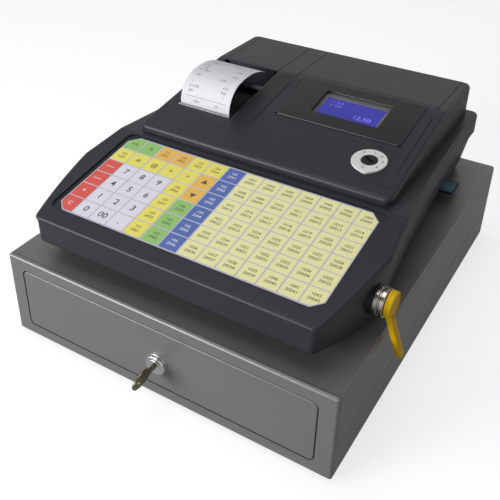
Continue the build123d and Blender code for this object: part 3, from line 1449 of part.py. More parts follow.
def make_rear_ports():
    """Sockets in the rear wall on one small board that stands on the lower shell."""
    z = head_z + shell_t
    y_wall = port_wall_y()
    (a0, a1, al, ah), (b0, b1, bl, bh), (c0, c1, cl, ch), (d0, d1, dl, dh) = port_windows()
    board = block(a0 - 6, b1 + 6, y_wall - 8, y_wall - 6.4, z, ah + 6)
    left = board
    for x0, x1, low, high in ((a0, a1, al, ah), (b0, b1, bl, bh)):
        socket = block(x0 + 0.5, x1 - 0.5, y_wall - 7, y_wall + 4, low + 0.5, high - 0.5)
        left += socket - block(x0 + 2.5, x1 - 2.5, y_wall - 4, y_wall + 5, low + 2.5, high - 2.5)
    right = block(c0 - 6, d1 + 6, y_wall - 8, y_wall - 6.4, z, dh + 6)
    socket = block(c0 + 0.5, c1 - 0.5, y_wall - 7, y_wall + 4, cl + 0.5, ch - 0.5)
    right += socket - rod_y((c0 + c1) / 2, y_wall - 5, y_wall + 5, (cl + ch) / 2, 4.2)
    right += rod_y((c0 + c1) / 2, y_wall - 6, y_wall + 2, (cl + ch) / 2, 1.2)
    body = block(d0 + 0.5, d1 - 0.5, y_wall - 7, y_wall + 3.5, dl + 0.5, dh - 0.5)
    right += body - block(d0 + 2, d1 - 2, y_wall - 5, y_wall + 5, dl + 1.5, dh - 1.5)
    pin_y, pin_z = rocker_axis()
    right += rod_x(d0 + 1, d1 - 1, pin_y, pin_z, pinion_shaft_r)
    return [only_solid(left), only_solid(right)]


def rocker_axis():
    _, _, _, (d0, d1, dl, dh) = port_windows()
    return port_wall_y() + 0.5, (dl + dh) / 2


def make_power_rocker():
    """Rocker of the power switch on its pin, pressed at its lower end."""
    _, _, _, (d0, d1, dl, dh) = port_windows()
    y, z = rocker_axis()
    half = (dh - dl) / 2 - 2.7
    outline = [(-2, 1.5 - half), (4.2, -half), (2.6, 0), (4.2, half), (-2, half - 1.5)]
    rocker = side_view(outline, d0 + 2.5, d1 - 2.5)
    rocker -= rod_x(d0, d1, 0, 0, pinion_shaft_r + run_gap)
    return Pos(0, y, z) * Rot(rocker_tilt, 0, 0) * rocker


def make_screws():
    """Equal screws: two hold the case's cover at the rear, four hold the head's shells together."""
    screws = []
    for sign in (-1, 1):
        x, z = sign * case_screw_x(), case_screw_z()
        screws.append(rod_y(x, case_d, case_d + 1.4, z, screw_head_r)
                      + rod_y(x, case_d - 7, case_d, z, screw_r))
    for x, y in head_screw_places():
        screws.append(rod_z(x, y, head_z - 1.4, head_z, screw_head_r)
                      + rod_z(x, y, head_z, parting_z(y) - 2 + screw_bite, screw_r))
    return screws


# ---------------------------------------------------------------- side lock and memory card
def waiter_seat_x():
    """Flat seat of the side lock, just clear of the shell's bulging side."""
    return wall_x(waiter_y + collar_r, head_z + waiter_h) + 0.4


def make_waiter_collar():
    """Chromed collar of the side lock: two rings with a notched groove between."""
    x0 = waiter_seat_x()
    z = head_z + waiter_h
    ring = collar_out * 0.42
    body = rod_x(x0 - 14, x0 + collar_out, waiter_y, z, collar_body_r)
    inner = fillet(rod_x(x0, x0 + ring, waiter_y, z, collar_r).edges(), 0.7)
    outer = fillet(rod_x(x0 + ring + 1.2, x0 + collar_out, waiter_y, z, collar_r).edges(), 0.7)
    neck = rod_x(x0 + ring - 1, x0 + ring + 2, waiter_y, z, collar_r - 1.4)
    collar = body + inner + outer + neck
    collar -= block(x0 + ring - 0.5, x0 + collar_out + 1, waiter_y + 2, waiter_y + 7, z + collar_r - 3, z + 20)
    return only_solid(collar - rod_x(x0 - 12, x0 + collar_out + 1, waiter_y, z, key_stub_r + 0.1))


def make_waiter_contact():
    """Contact board of the side lock, on the inner end of the collar."""
    x0 = waiter_seat_x() - 14
    z = head_z + waiter_h
    board = rod_x(x0 - 1.6, x0, waiter_y, z, collar_body_r)
    return board + block(x0 - 6, x0 - 1, waiter_y - 5, waiter_y + 5, z - 4, z + 4)


def make_waiter_key():
    """Yellow key: stub in the collar, dished disc and a handle that stands off downwards."""
    x0 = waiter_seat_x() + collar_out + 0.3
    z = head_z + waiter_h
    disc = rod_x(x0, x0 + key_disc_t, waiter_y, z, key_disc_r)
    disc = fillet(disc.edges(), 1.6)
    stub = rod_x(x0 - collar_out - 6, x0 + 1, waiter_y, z, key_stub_r)
    lean = math.radians(key_arm_lean)
    hang = Plane(origin=(x0 + key_disc_t / 2, waiter_y - key_disc_r + key_arm_w / 2 + 0.4, z),
                 x_dir=(0, 1, 0), z_dir=(math.cos(lean), 0, math.sin(lean)))
    strap = Rot(0, 0, key_arm_swing) * Pos(0, -key_arm_len / 2) * RectangleRounded(
        key_arm_w, key_arm_len, key_arm_w / 2 - 0.1)
    arm = extrude(hang * strap, key_arm_t / 2, both=True)
    arm = fillet(arm.edges().filter_by(GeomType.LINE).filter_by(lambda e: e.length > key_arm_len / 2), 1.0)
    dish_r = key_disc_r - key_disc_rim
    dish = rod_x(x0 + key_disc_t - key_dish, x0 + key_disc_t + key_arm_t, waiter_y, z, dish_r)
    return only_solid(disc + stub + arm - dish)


def card_x():
    return wall_x(card_y, head_z + card_h)


def make_sd_card():
    """Memory card, standing out of the side slot."""
    x1 = card_x() + card_out
    z = head_z + card_h
    face = Pos(x1 - card_len / 2, card_y) * RectangleRounded(card_len, card_w, 1.0)
    card = extrude(face, card_t)
    notch = Pos(x1 - card_len, card_y + card_w / 2, card_t / 2) * Rot(0, 0, 45) * Box(5, 5, card_t + 1)
    return Pos(0, 0, z) * only_solid(card - notch)


def make_sd_socket():
    """Metal card socket on its own small board inside the slot."""
    x1 = card_x() - shell_t - 2.0
    x0 = card_x() + card_out - card_len - 2.5
    z = head_z + card_h
    y0, y1 = card_y - card_w / 2 - 1.6, card_y + card_w / 2 + 1.6
    cage = block(x0, x1, y0, y1, z - 0.9, z + card_t + 0.9)
    cage -= block(x0 + 1.5, x1 + 1, y0 + 1.1, y1 - 1.1, z - run_gap, z + card_t + run_gap)
    board = block(x0 - 3, x1, y0 - 4, y1 + 4, z - 2.5, z - 0.9)
    posts = block(x0 - 1, x0 + 5, y0 - 3, y1 + 3, head_z + shell_t, z - 2.4)
    return only_solid(cage + board + posts)


# ---------------------------------------------------------------- the whole register
def build_nodes():
    nodes = {
        "case_tray": make_case_tray(),
        "case_cover": drill_cover(make_case_cover()),
        "rubber_feet": make_rubber_feet(),
        "case_runners": make_case_runners(),
        "case_rollers": make_case_rollers(),
        "drawer_rollers": make_drawer_rollers(),
        "drawer_front": make_drawer_front(),
        "drawer_box": make_drawer_box(),
        "lock_collar": make_lock_collar(),
        "lock_plug": make_lock_plug(),
        "lock_cam": make_lock_cam(),
        "lock_nut": make_lock_nut(),
        "drawer_key": make_drawer_key(),
        "till_insert": make_till_insert(),
        "coin_tray": make_coin_tray(),
        "clip_rod": make_clip_rod(),
        "latch_bracket": make_latch_bracket(),
        "latch_hook": make_latch_hook(),
        "solenoid_coil": make_solenoid_coil(),
        "solenoid_plunger": make_solenoid_plunger(),
        "eject_spring": make_eject_spring(),
        "base_shell": make_base_shell(),
        "top_shell": make_top_shell(),
        "key_sheet": make_key_sheet(),
        "membrane": make_membrane(),
        "keyboard_plate": make_keyboard_plate(),
        "module_housing": make_module_housing(),
        "printer_cover": make_printer_cover(),
        "customer_display": make_customer_display(),
        "customer_window": make_customer_window(),
        "hinge_pins": make_hinge_pins(),
        "display_window": make_display_window(),
        "lcd_module": make_lcd_module(),
        "mode_dial": make_mode_dial(),
        "mode_switch": make_mode_switch(),
        "mode_plug": make_mode_plug(),
        "printer_frame": make_printer_frame(),
        "print_head": make_print_head(),
        "platen_roller": make_platen_roller(),
        "platen_gear": make_platen_gear(),
        "feed_pinion": make_feed_pinion(),
        "feed_motor": make_feed_motor(),
        "tear_bar": make_tear_bar(),
        "paper_roll": make_paper_roll(),
        "paper_core": make_paper_core(),
        "receipt_paper": make_receipt_paper(),
        "main_board": make_main_board(),
        "power_supply": make_power_supply(),
        "rear_ports": make_rear_ports(),
        "power_rocker": make_power_rocker(),
        "screws": make_screws(),
        "waiter_collar": make_waiter_collar(),
        "waiter_contact": make_waiter_contact(),
        "waiter_key": make_waiter_key(),
        "sd_card": make_sd_card(),
        "sd_socket": make_sd_socket(),
    }
    for index in range(note_bays):
        nodes[f"note_clip_{index + 1}"] = make_note_clip(index)
    return nodes


def as_one(shape):
    """One shape for a node, whether it is a single solid or a group of them."""
    solids = []
    for item in shape if isinstance(shape, list) else [shape]:
        solids += item.solids()
    return solids[0] if len(solids) == 1 else Compound(children=solids)


nodes = {name: as_one(shape) for name, shape in build_nodes().items()}
whole = Compound(children=[copy for shape in nodes.values() for copy in shape.solids()]).bounding_box()
origin = Vector((whole.min.X + whole.max.X) / 2, (whole.min.Y + whole.max.Y) / 2, whole.min.Z)

for name, shape in nodes.items():
    export_step(Pos(-origin.X, -origin.Y, -origin.Z) * shape, f"parts/{name}.step")
print("origin in the modelling frame:", origin)
print("size:", whole.size)
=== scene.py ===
import math
import bpy
from mathutils import Matrix, Vector


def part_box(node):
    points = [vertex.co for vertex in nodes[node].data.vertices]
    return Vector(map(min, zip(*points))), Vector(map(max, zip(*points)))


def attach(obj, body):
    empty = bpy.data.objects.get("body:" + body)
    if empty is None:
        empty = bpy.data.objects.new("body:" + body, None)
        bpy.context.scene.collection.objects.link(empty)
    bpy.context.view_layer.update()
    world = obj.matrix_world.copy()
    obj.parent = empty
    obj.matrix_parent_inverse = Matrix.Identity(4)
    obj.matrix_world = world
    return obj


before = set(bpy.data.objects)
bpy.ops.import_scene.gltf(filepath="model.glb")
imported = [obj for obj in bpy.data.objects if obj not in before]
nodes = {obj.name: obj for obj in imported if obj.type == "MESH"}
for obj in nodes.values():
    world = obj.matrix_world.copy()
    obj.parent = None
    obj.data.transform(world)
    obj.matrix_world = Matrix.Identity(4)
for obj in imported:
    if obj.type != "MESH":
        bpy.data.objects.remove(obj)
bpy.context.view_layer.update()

# ------------------------------------------------------------------ studio
# A white paper sweep carries the register, under a soft box from the front left and one overhead.
# The camera looks down on its right front corner.
FOCAL_PX, FRAME_PX = 763.8, 500.0
CENTRE_PX = (230.1, 186.3)
AZIMUTH, ELEVATION, ROLL = math.radians(31.58), math.radians(31.54), math.radians(0.58)
CAMERA_AT = (0.2901, -0.5542, 0.5069)

camera = bpy.data.cameras.new("camera")
camera.sensor_width = 36.0
camera.lens = FOCAL_PX / FRAME_PX * camera.sensor_width
camera.shift_x = (FRAME_PX / 2 - CENTRE_PX[0]) / FRAME_PX
camera.shift_y = (CENTRE_PX[1] - FRAME_PX / 2) / FRAME_PX
camera.clip_start = 0.01
viewer = bpy.data.objects.new("camera", camera)
bpy.context.scene.collection.objects.link(viewer)
viewer.matrix_world = (Matrix.Translation(CAMERA_AT) @ Matrix.Rotation(AZIMUTH, 4, "Z")
                       @ Matrix.Rotation(math.pi / 2 - ELEVATION, 4, "X")
                       @ Matrix.Rotation(ROLL, 4, "Z"))
bpy.context.scene.camera = viewer
bpy.context.scene.view_settings.view_transform = "Standard"

LIT_AT = Vector((0, 0, 0.1))
LAMPS = (("front_left", (-1.0, -1.7, 0.5), 1.0, 38), ("overhead", (-0.3, -0.1, 1.9), 1.2, 12))
for name, place, size, watts in LAMPS:
    lamp = bpy.data.lights.new(name, "AREA")
    lamp.size, lamp.energy = size, watts
    holder = bpy.data.objects.new(name, lamp)
    bpy.context.scene.collection.objects.link(holder)
    holder.location = place
    holder.rotation_euler = (LIT_AT - Vector(place)).to_track_quat("-Z", "Y").to_euler()


class Wire:
    """One value on its way through a shader, so that sums of values read as plain sums."""

    def __init__(self, shading, socket):
        self.shading, self.socket = shading, socket

    def math(self, operation, *values):
        return self.shading.node("ShaderNodeMath", {"operation": operation}, dict(enumerate(values)))

    def __add__(self, other): return self.math("ADD", self, other)
    def __radd__(self, other): return self.math("ADD", other, self)
    def __rsub__(self, other): return self.math("SUBTRACT", other, self)
    def __mul__(self, other): return self.math("MULTIPLY", self, other)
    def __rmul__(self, other): return self.math("MULTIPLY", other, self)
    def __lt__(self, other): return self.math("LESS_THAN", self, other)
    def __gt__(self, other): return self.math("GREATER_THAN", self, other)
    def __or__(self, other): return self.math("MAXIMUM", self, other)
    def __abs__(self): return self.math("ABSOLUTE", self)


class Shading:
    """A node tree, filled one node at a time."""

    def __init__(self, tree):
        self.tree = tree

    def node(self, kind, settings=None, values=None, out=0):
        made = self.tree.nodes.new(kind)
        for key, value in (settings or {}).items():
            setattr(made, key, value)
        for socket, value in (values or {}).items():
            if isinstance(value, Wire):
                self.tree.links.new(value.socket, made.inputs[socket])
            else:
                made.inputs[socket].default_value = value
        return Wire(self, made.outputs[out])

    def mix(self, share, a, b):
        return self.node("ShaderNodeMix", {"data_type": "RGBA"}, {0: share, 6: a, 7: b}, out=2)

    def ramp(self, value, low, high, start, end):
        """Follows a value between two limits, from a start to an end."""
        return self.node("ShaderNodeMapRange", values={0: value, 1: low, 2: high, 3: start, 4: end})


class Finish(Shading):
    """The finish of one kind of surface: a Principled shader and the nodes that feed it."""

    def __init__(self, name, **constants):
        self.material = bpy.data.materials.new(name)
        self.material.use_nodes = True
        super().__init__(self.material.node_tree)
        self.shader = self.tree.nodes["Principled BSDF"]
        for socket, value in constants.items():
            self.shader.inputs[socket.replace("_", " ")].default_value = value

    def feed(self, **wires):
        for socket, wire in wires.items():
            self.tree.links.new(wire.socket, self.shader.inputs[socket.replace("_", " ")])

    def place(self):
        return self.node("ShaderNodeTexCoord", out="Object")

    def local(self, centre, tilt=0.0):
        """X, Y and Z from a centre, on a surface that rises towards the rear by the tilt."""
        spot = self.node("ShaderNodeMapping", {"vector_type": "TEXTURE"}, {
            "Vector": self.place(), "Location": centre, "Rotation": (tilt, 0, 0)})
        return [self.node("ShaderNodeSeparateXYZ", values={0: spot}, out=axis) for axis in "XYZ"]

    def noise(self, scale, detail=2.0, stretch=(1, 1, 1)):
        spot = self.node("ShaderNodeMapping", values={"Vector": self.place(), "Scale": stretch})
        return self.node("ShaderNodeTexNoise", values={
            "Vector": spot, "Scale": scale, "Detail": detail})

    def bump(self, height, strength, distance):
        return self.node("ShaderNodeBump", values={
            "Height": height, "Strength": strength, "Distance": distance})


def srgb(red, green, blue):
    """A colour from its screen values."""
    return tuple(((v / 255 + 0.055) / 1.055) ** 2.4 if v > 10 else v / 255 / 12.92
                 for v in (red, green, blue)) + (1.0,)


bpy.ops.object.select_all(action="DESELECT")
FLOOR_SIZE = 12.0
GLOSS_SHARE = 0.3      # how much of the sweep's white shows in reflections
GLOW = 0.74            # how far the sweep shines by itself where it is seen
bpy.ops.mesh.primitive_grid_add(x_subdivisions=8, y_subdivisions=8, size=FLOOR_SIZE)
floor = bpy.context.object
floor.name = "floor"
paper = Finish("sweep", Roughness=0.9, Specular_IOR_Level=0.0, Emission_Strength=1.0)
seen = (paper.node("ShaderNodeLightPath", out="Is Camera Ray")
        | paper.node("ShaderNodeLightPath", out="Is Glossy Ray") * GLOSS_SHARE)
paper.feed(Base_Color=paper.mix(seen, srgb(150, 150, 152), srgb(168, 168, 169)),
           Emission_Color=paper.mix(seen, (0, 0, 0, 1), (GLOW, GLOW, GLOW, 1)))
floor.data.materials.append(paper.material)

# The sweep goes up behind the register and ends below a dark ceiling.
world = bpy.data.worlds.new("studio")
bpy.context.scene.world = world
world.use_nodes = True
AMBIENT = 0.18                           # the light that the walls send everywhere
WALL, CEILING = 0.85, 0.1                # how light they look in reflections
WALL_ENDS, CEILING_STARTS = 0.5, 0.78    # as sines of the height above the horizon
sky = Shading(world.node_tree)
direction = sky.node("ShaderNodeTexCoord", out="Generated")
height = sky.node("ShaderNodeSeparateXYZ", values={0: direction}, out="Z")
camera_ray = sky.node("ShaderNodeLightPath", out="Is Camera Ray") | sky.node(
    "ShaderNodeLightPath", out="Is Transmission Ray")
gloss_ray = sky.node("ShaderNodeLightPath", out="Is Glossy Ray")
dome = sky.ramp(height, WALL_ENDS, CEILING_STARTS, WALL, CEILING)
strength = camera_ray + (1 - camera_ray) * (gloss_ray * dome + (1 - gloss_ray) * AMBIENT)
background = sky.tree.nodes["Background"]
background.inputs["Color"].default_value = (1, 1, 1, 1)
sky.tree.links.new(strength.socket, background.inputs["Strength"])

# ------------------------------------------------------------------ case of the drawer
# Folded sheet steel, 1.2 mm, powder coated in a dark metallic grey: a lower shell with the
# front frame, and a cover slid over it from behind and screwed at the rear.
coat = Finish("grey_powder_coat", Metallic=0.35, Specular_IOR_Level=0.3)
speckle = coat.noise(2600.0, 3.0)
cloud = coat.noise(14.0, 2.0)
tone = speckle * 0.7 + cloud * 0.2
coat.feed(Base_Color=coat.mix(tone, srgb(104, 104, 102), srgb(142, 141, 138)),
          Roughness=0.3 + speckle * 0.14, Normal=coat.bump(speckle, 0.14, 0.0001))


def cover(names, finish):
    """Gives these solids one finish."""
    for name in names:
        nodes[name].data.materials.clear()
        nodes[name].data.materials.append(finish.material)


cover(["case_tray", "case_cover"], coat)

# Small round feet of matt rubber, pressed into the floor of the case and of the head.
rubber = Finish("foot_rubber", Specular_IOR_Level=0.25)
grit = rubber.noise(1800.0, 3.0)
rubber.feed(Base_Color=rubber.mix(grit, srgb(22, 22, 22), srgb(44, 44, 43)),
            Roughness=0.7 + grit * 0.2, Normal=rubber.bump(grit, 0.25, 0.0002))
cover(["rubber_feet"], rubber)

# ------------------------------------------------------------------ runners
# Zinc-plated steel rails on stand-offs from the sides of the case carry the folded steel box of
# the drawer. It runs on moulded acetal rollers, two on the rails' pins and two on its own.
zinc = Finish("bright_zinc", Metallic=1.0)
streak = zinc.noise(60.0, 3.0, (1, 0.06, 1))
spangle = zinc.noise(420.0, 2.0)
mottle = streak * 0.5 + spangle * 0.5
zinc.feed(Base_Color=zinc.mix(mottle, srgb(168, 170, 172), srgb(214, 215, 214)),
          Roughness=0.24 + streak * 0.2, Normal=zinc.bump(streak, 0.05, 0.0002))
cover(["case_runners", "drawer_box", "latch_bracket", "sd_socket"], zinc)
acetal = Finish("natural_acetal")
shade = acetal.noise(90.0)
acetal.feed(Base_Color=acetal.mix(shade, srgb(212, 210, 200), srgb(228, 226, 216)),
            Roughness=0.36 + shade * 0.1)
cover(["case_rollers", "drawer_rollers", "platen_gear", "feed_pinion", "membrane"], acetal)

# ------------------------------------------------------------------ drawer front
# A shallow pan of the same coated sheet, folded all round with rounded corners. It closes the
# front of the drawer box and stands inset in the case's front frame.
cover(["drawer_front"], coat)

# ------------------------------------------------------------------ drawer lock and key
# A chromed cam lock goes through the middle of the front and is held by a steel nut behind it. Its
# key of nickel-plated brass is left in it.
chrome = Finish("chrome_plate", Metallic=1.0)
wipe = chrome.noise(300.0, 3.0)
chrome.feed(Base_Color=chrome.mix(wipe, srgb(186, 187, 190), srgb(214, 215, 217)),
            Roughness=0.16 + wipe * 0.12)
cover(["lock_collar", "lock_plug"], chrome)
brass = Finish("worn_nickel_brass", Metallic=1.0)
rub = brass.noise(700.0, 4.0)
brass.feed(Base_Color=brass.mix(rub, srgb(84, 80, 58), srgb(132, 128, 100)),
           Roughness=0.26 + rub * 0.2, Normal=brass.bump(rub, 0.1, 0.0002))
cover(["drawer_key"], brass)
steel = Finish("plain_steel", Metallic=1.0)
grain = steel.noise(500.0, 3.0, (0.1, 1, 1))
steel.feed(Base_Color=steel.mix(grain, srgb(150, 152, 155), srgb(190, 191, 193)),
           Roughness=0.28 + grain * 0.15)
cover(["lock_cam", "lock_nut", "clip_rod", "latch_hook", "solenoid_plunger", "eject_spring",
       "hinge_pins", "tear_bar", "screws", "keyboard_plate"], steel)

# ------------------------------------------------------------------ till insert
# A black moulded tray lies in the drawer box, with four note bays under sprung clips on one steel
# rod. A loose tray of eight coin cups stands ahead of them.
moulded = Finish("black_moulding", Specular_IOR_Level=0.4)
pebble = moulded.noise(1500.0, 2.0)
moulded.feed(Base_Color=moulded.mix(pebble, srgb(26, 26, 28), srgb(42, 42, 44)),
             Roughness=0.45 + pebble * 0.15, Normal=moulded.bump(pebble, 0.2, 0.0002))
cover(["till_insert", "coin_tray", "printer_frame"], moulded)
cover([f"note_clip_{i}" for i in (1, 2, 3, 4)], moulded)

# The drawer's opener pulls its hook with a coil of enamelled copper wire, on the case's floor.
winding = Finish("taped_coil")
turns = winding.noise(900.0, 2.0, (0.05, 0.05, 1))
winding.feed(Base_Color=winding.mix(turns, srgb(104, 52, 20), srgb(176, 104, 48)),
             Roughness=0.4 + turns * 0.2)
cover(["solenoid_coil"], winding)

# ------------------------------------------------------------------ head shells
# Two shells of charcoal ABS with a fine spark texture. They meet on a wavering joint all round
# and are screwed together from below.
charcoal = Finish("charcoal_abs", Specular_IOR_Level=0.4)
spark = charcoal.noise(2400.0, 2.0)
fade = charcoal.noise(9.0, 2.0)
charcoal.feed(Base_Color=charcoal.mix(spark * 0.5 + fade * 0.5, srgb(24, 28, 33), srgb(38, 42, 48)),
              Roughness=0.4 + spark * 0.12, Normal=charcoal.bump(spark, 0.22, 0.00012))
cover(["base_shell", "top_shell", "module_housing", "printer_cover", "customer_display"], charcoal)

# ------------------------------------------------------------------ keyboard
# A printed film over a switch membrane, fourteen by six flat keys. Each key is a colour field
# that stands a hair above the lilac ground of the film, with its figures printed over it.
SLOPE = math.radians(9.41)
COLUMNS, ROWS = 14, 6
COLOURED = 7           # columns from the left that KEY_ROWS colours; the rest are cream
KEY_PITCH = (0.0186, 0.0192)
KEY_GAP, KEY_RISE, PRINT_RISE = 0.0013, 0.0001, 0.00003
FILM_T, FILM_CUT = 0.0005, 0.009
FIELDS = {"green": (150, 200, 115), "orange": (238, 190, 92), "yellow": (238, 228, 108),
          "blue": (86, 112, 180), "cream": (240, 236, 174), "red": (222, 92, 84),
          "white": (228, 226, 238)}
PALER = 8              # how much lighter a field's colour is in places
KEY_ROWS = ("green green orange orange yellow yellow blue",
            "yellow yellow yellow yellow yellow orange blue",
            "red white white white yellow orange blue",
            "red white white white yellow green blue",
            "red white white white yellow green blue",
            "red white white white yellow green blue")
KEY_FIGURES = ("+% -% 51 52 53 54 1", "55 # @ × ÷ ▲ 2", "- 7 8 9 56 ▼ 3",
               "- 4 5 6 57 58 4", "× 1 2 3 59 60 5", "C 0 00 . 61 62 6")
SYMBOLS = tuple("▲▼×÷#@")
DIGIT_TALL, SYMBOL_TALL, SIGN_TALL, LINE_TALL = 0.0070, 0.0052, 0.0044, 0.0031
UPPER_LINE, LOWER_LINE = 0.0026, -0.0024      # middles of a key's two lines of figures
COLOURED_FROM, CREAM_FROM = (100, 2000), (1000, 20000)     # what its two numbers count up from

film = Finish("key_film_ground", Roughness=0.5, Specular_IOR_Level=0.3)
haze = film.noise(40.0)
film.feed(Base_Color=film.mix(haze, srgb(194, 191, 210), srgb(206, 204, 221)))
cover(["key_sheet"], film)

low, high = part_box("key_sheet")
film_w, film_l = high[0] - low[0], (high[1] - low[1]) / math.cos(SLOPE)
deck = (Matrix.Translation((Vector(low) + Vector(high)) / 2) @ Matrix.Rotation(SLOPE, 4, "X")
        @ Matrix.Translation((0, 0, FILM_T / 2)))
keys_w, keys_l = COLUMNS * KEY_PITCH[0], ROWS * KEY_PITCH[1]

bpy.ops.object.select_all(action="DESELECT")
bpy.ops.mesh.primitive_grid_add(x_subdivisions=COLUMNS, y_subdivisions=ROWS, size=1)
keys = bpy.context.object
bpy.ops.object.mode_set(mode="EDIT")
bpy.ops.transform.resize(value=(keys_w, keys_l, 1))
bpy.ops.mesh.select_mode(type="FACE")
bpy.ops.mesh.inset(thickness=KEY_GAP / 2, use_individual=True)
bpy.ops.mesh.select_all(action="INVERT")
bpy.ops.mesh.delete(type="FACE")
bpy.ops.mesh.select_all(action="SELECT")
bpy.ops.mesh.extrude_region_move(TRANSFORM_OT_translate={"value": (0, 0, KEY_RISE)})
for side_x in (-1, 1):
    for side_y in (-1, 1):
        on_cut = (side_x * (film_w / 2 - FILM_CUT / 2 - KEY_GAP),
                  side_y * (film_l / 2 - FILM_CUT / 2), 0)
        bpy.ops.mesh.select_all(action="SELECT")
        bpy.ops.mesh.bisect(plane_co=on_cut, plane_no=(side_x, side_y, 0), use_fill=False,
                            clear_outer=True)
bpy.ops.object.mode_set(mode="OBJECT")

for name, colour in FIELDS.items():
    field = Finish("key_" + name, Specular_IOR_Level=0.35)
    dots = field.noise(3200.0, 2.0)
    wash = field.noise(30.0, 2.0)
    paler = tuple(min(255, v + PALER) for v in colour)
    field.feed(Base_Color=field.mix(dots * 0.4 + wash * 0.5, srgb(*colour), srgb(*paler)),
               Roughness=0.46 + dots * 0.1)
    keys.data.materials.append(field.material)
order = list(FIELDS)
for face in keys.data.polygons:
    column = int((face.center.x + keys_w / 2) / KEY_PITCH[0])
    row = int((keys_l / 2 - face.center.y) / KEY_PITCH[1])
    names = KEY_ROWS[row].split()
    face.material_index = order.index(names[column] if column < len(names) else "cream")
keys.data.transform(deck)
bpy.ops.mesh.separate(type="MATERIAL")
for piece in bpy.context.selected_objects:
    piece.name = "keys_" + piece.data.materials[0].name[4:]
    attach(piece, "register")

CAP_SHARE = 0.72       # height of a figure in the type's size
BOLDNESS = 0.015       # how far its strokes swell
MARK_SHARE = 0.75      # radius of an arrow or a dash in the height given
DASH = Matrix.Diagonal((1.9, 0.16, 1, 1)) @ Matrix.Rotation(math.pi / 4, 4, "Z")


def figure(text, height, place):
    """Flat printed figures of one height, centred on a place."""
    bpy.ops.object.select_all(action="DESELECT")
    if text in "▲▼-":
        bpy.ops.mesh.primitive_circle_add(vertices=4 if text == "-" else 3, fill_type="NGON",
                                          radius=height * MARK_SHARE)
        turn = {"▲": Matrix.Identity(4), "▼": Matrix.Rotation(math.pi, 4, "Z"), "-": DASH}[text]
        bpy.context.object.data.transform(turn)
    else:
        bpy.ops.object.text_add()
        letters = bpy.context.object.data
        letters.body, letters.size = text, height / CAP_SHARE
        letters.align_x, letters.align_y = "CENTER", "CENTER"
        letters.resolution_u = 2
        letters.offset = height * BOLDNESS
        bpy.ops.object.convert(target="MESH")
    bpy.context.object.data.transform(place)
    return bpy.context.object


def print_piece(name, figures, finish):
    """Joins printed figures into one piece on the register's body."""
    bpy.ops.object.select_all(action="DESELECT")
    for piece in figures:
        piece.select_set(True)
    bpy.context.view_layer.objects.active = figures[0]
    bpy.ops.object.join()
    joined = bpy.context.object
    joined.name = name
    joined.data.materials.clear()
    joined.data.materials.append(finish.material)
    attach(joined, "register")


dark_ink = Finish("dark_ink", Roughness=0.6, Specular_IOR_Level=0.2)
soak = dark_ink.noise(2000.0, 2.0)
dark_ink.feed(Base_Color=dark_ink.mix(soak, srgb(50, 50, 56), srgb(76, 76, 82)))
brown_ink = Finish("brown_ink", Roughness=0.6, Specular_IOR_Level=0.2)
soak = brown_ink.noise(2000.0, 2.0)
brown_ink.feed(Base_Color=brown_ink.mix(soak, srgb(86, 84, 70), srgb(112, 110, 94)))
pale_ink = Finish("pale_ink", Roughness=0.6, Specular_IOR_Level=0.2)
soak = pale_ink.noise(2000.0, 2.0)
pale_ink.feed(Base_Color=pale_ink.mix(soak, srgb(226, 226, 232), srgb(240, 240, 244)))

dark, pale, brown = [], [], []
for row in range(ROWS):
    for column in range(COLUMNS):
        centre = ((column + 0.5) * KEY_PITCH[0] - keys_w / 2,
                  keys_l / 2 - (row + 0.5) * KEY_PITCH[1])
        spot = deck @ Matrix.Translation((*centre, KEY_RISE + PRINT_RISE))
        text, colour = "", "cream"
        if column < COLOURED:
            text, colour = KEY_FIGURES[row].split()[column], KEY_ROWS[row].split()[column]
        ink = pale if colour in ("red", "blue") else dark if colour == "white" else brown
        if colour == "white":
            ink.append(figure(text, DIGIT_TALL, spot))
        elif text in SYMBOLS:
            ink.append(figure(text, SYMBOL_TALL, spot))
        elif text and not text.isdigit():
            ink.append(figure(text, SIGN_TALL, spot))
        else:
            number = int(text) if text else row * (COLUMNS - COLOURED) + column - COLOURED + 1
            bases = COLOURED_FROM if text else CREAM_FROM
            for step, base in zip((UPPER_LINE, LOWER_LINE), bases):
                place = spot @ Matrix.Translation((0, step, 0))
                ink.append(figure(str(base + number), LINE_TALL, place))
print_piece("key_figures_dark", dark, dark_ink)
print_piece("key_figures_pale", pale, pale_ink)
print_piece("key_figures_brown", brown, brown_ink)

# ------------------------------------------------------------------ operator's display
# A blue backlit glass in a steel frame, on a board under the roof. A tinted acrylic panel covers
# it, printed dark from behind all round a clear view.
VIEW_EDGES = (0.0299, 0.0295, 0.0174, 0.0141)   # left, right, front, rear, from the panel's edges
CLEARNESS = 0.9                                # how much of the light the clear view lets through
GLASS_SIZE, GLASS_AHEAD = (0.063, 0.031), 0.0015
GLASS_DEPTH = 0.00205                          # under the middle of the panel

low, high = (Vector(corner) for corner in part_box("display_window"))
left, right, front, rear = VIEW_EDGES
view_w, view_l = high.x - low.x - left - right, (high.y - low.y - front - rear) / math.cos(SLOPE)
view = Vector(((low.x + left + high.x - right) / 2, (low.y + front + high.y - rear) / 2,
               (low.z + high.z) / 2))

tint = Finish("tinted_acrylic", Specular_IOR_Level=0.5)
smear = tint.noise(120.0, 3.0)
x, y, z = tint.local(view, SLOPE)
clear = (abs(x) < view_w / 2) * (abs(y) < view_l / 2)
unprinted = clear | (z < 0)
tint.feed(Base_Color=tint.mix(smear, srgb(33, 30, 34), srgb(44, 40, 46)),
          Roughness=0.12 + smear * 0.08, Alpha=1 - unprinted * CLEARNESS)
cover(["display_window"], tint)

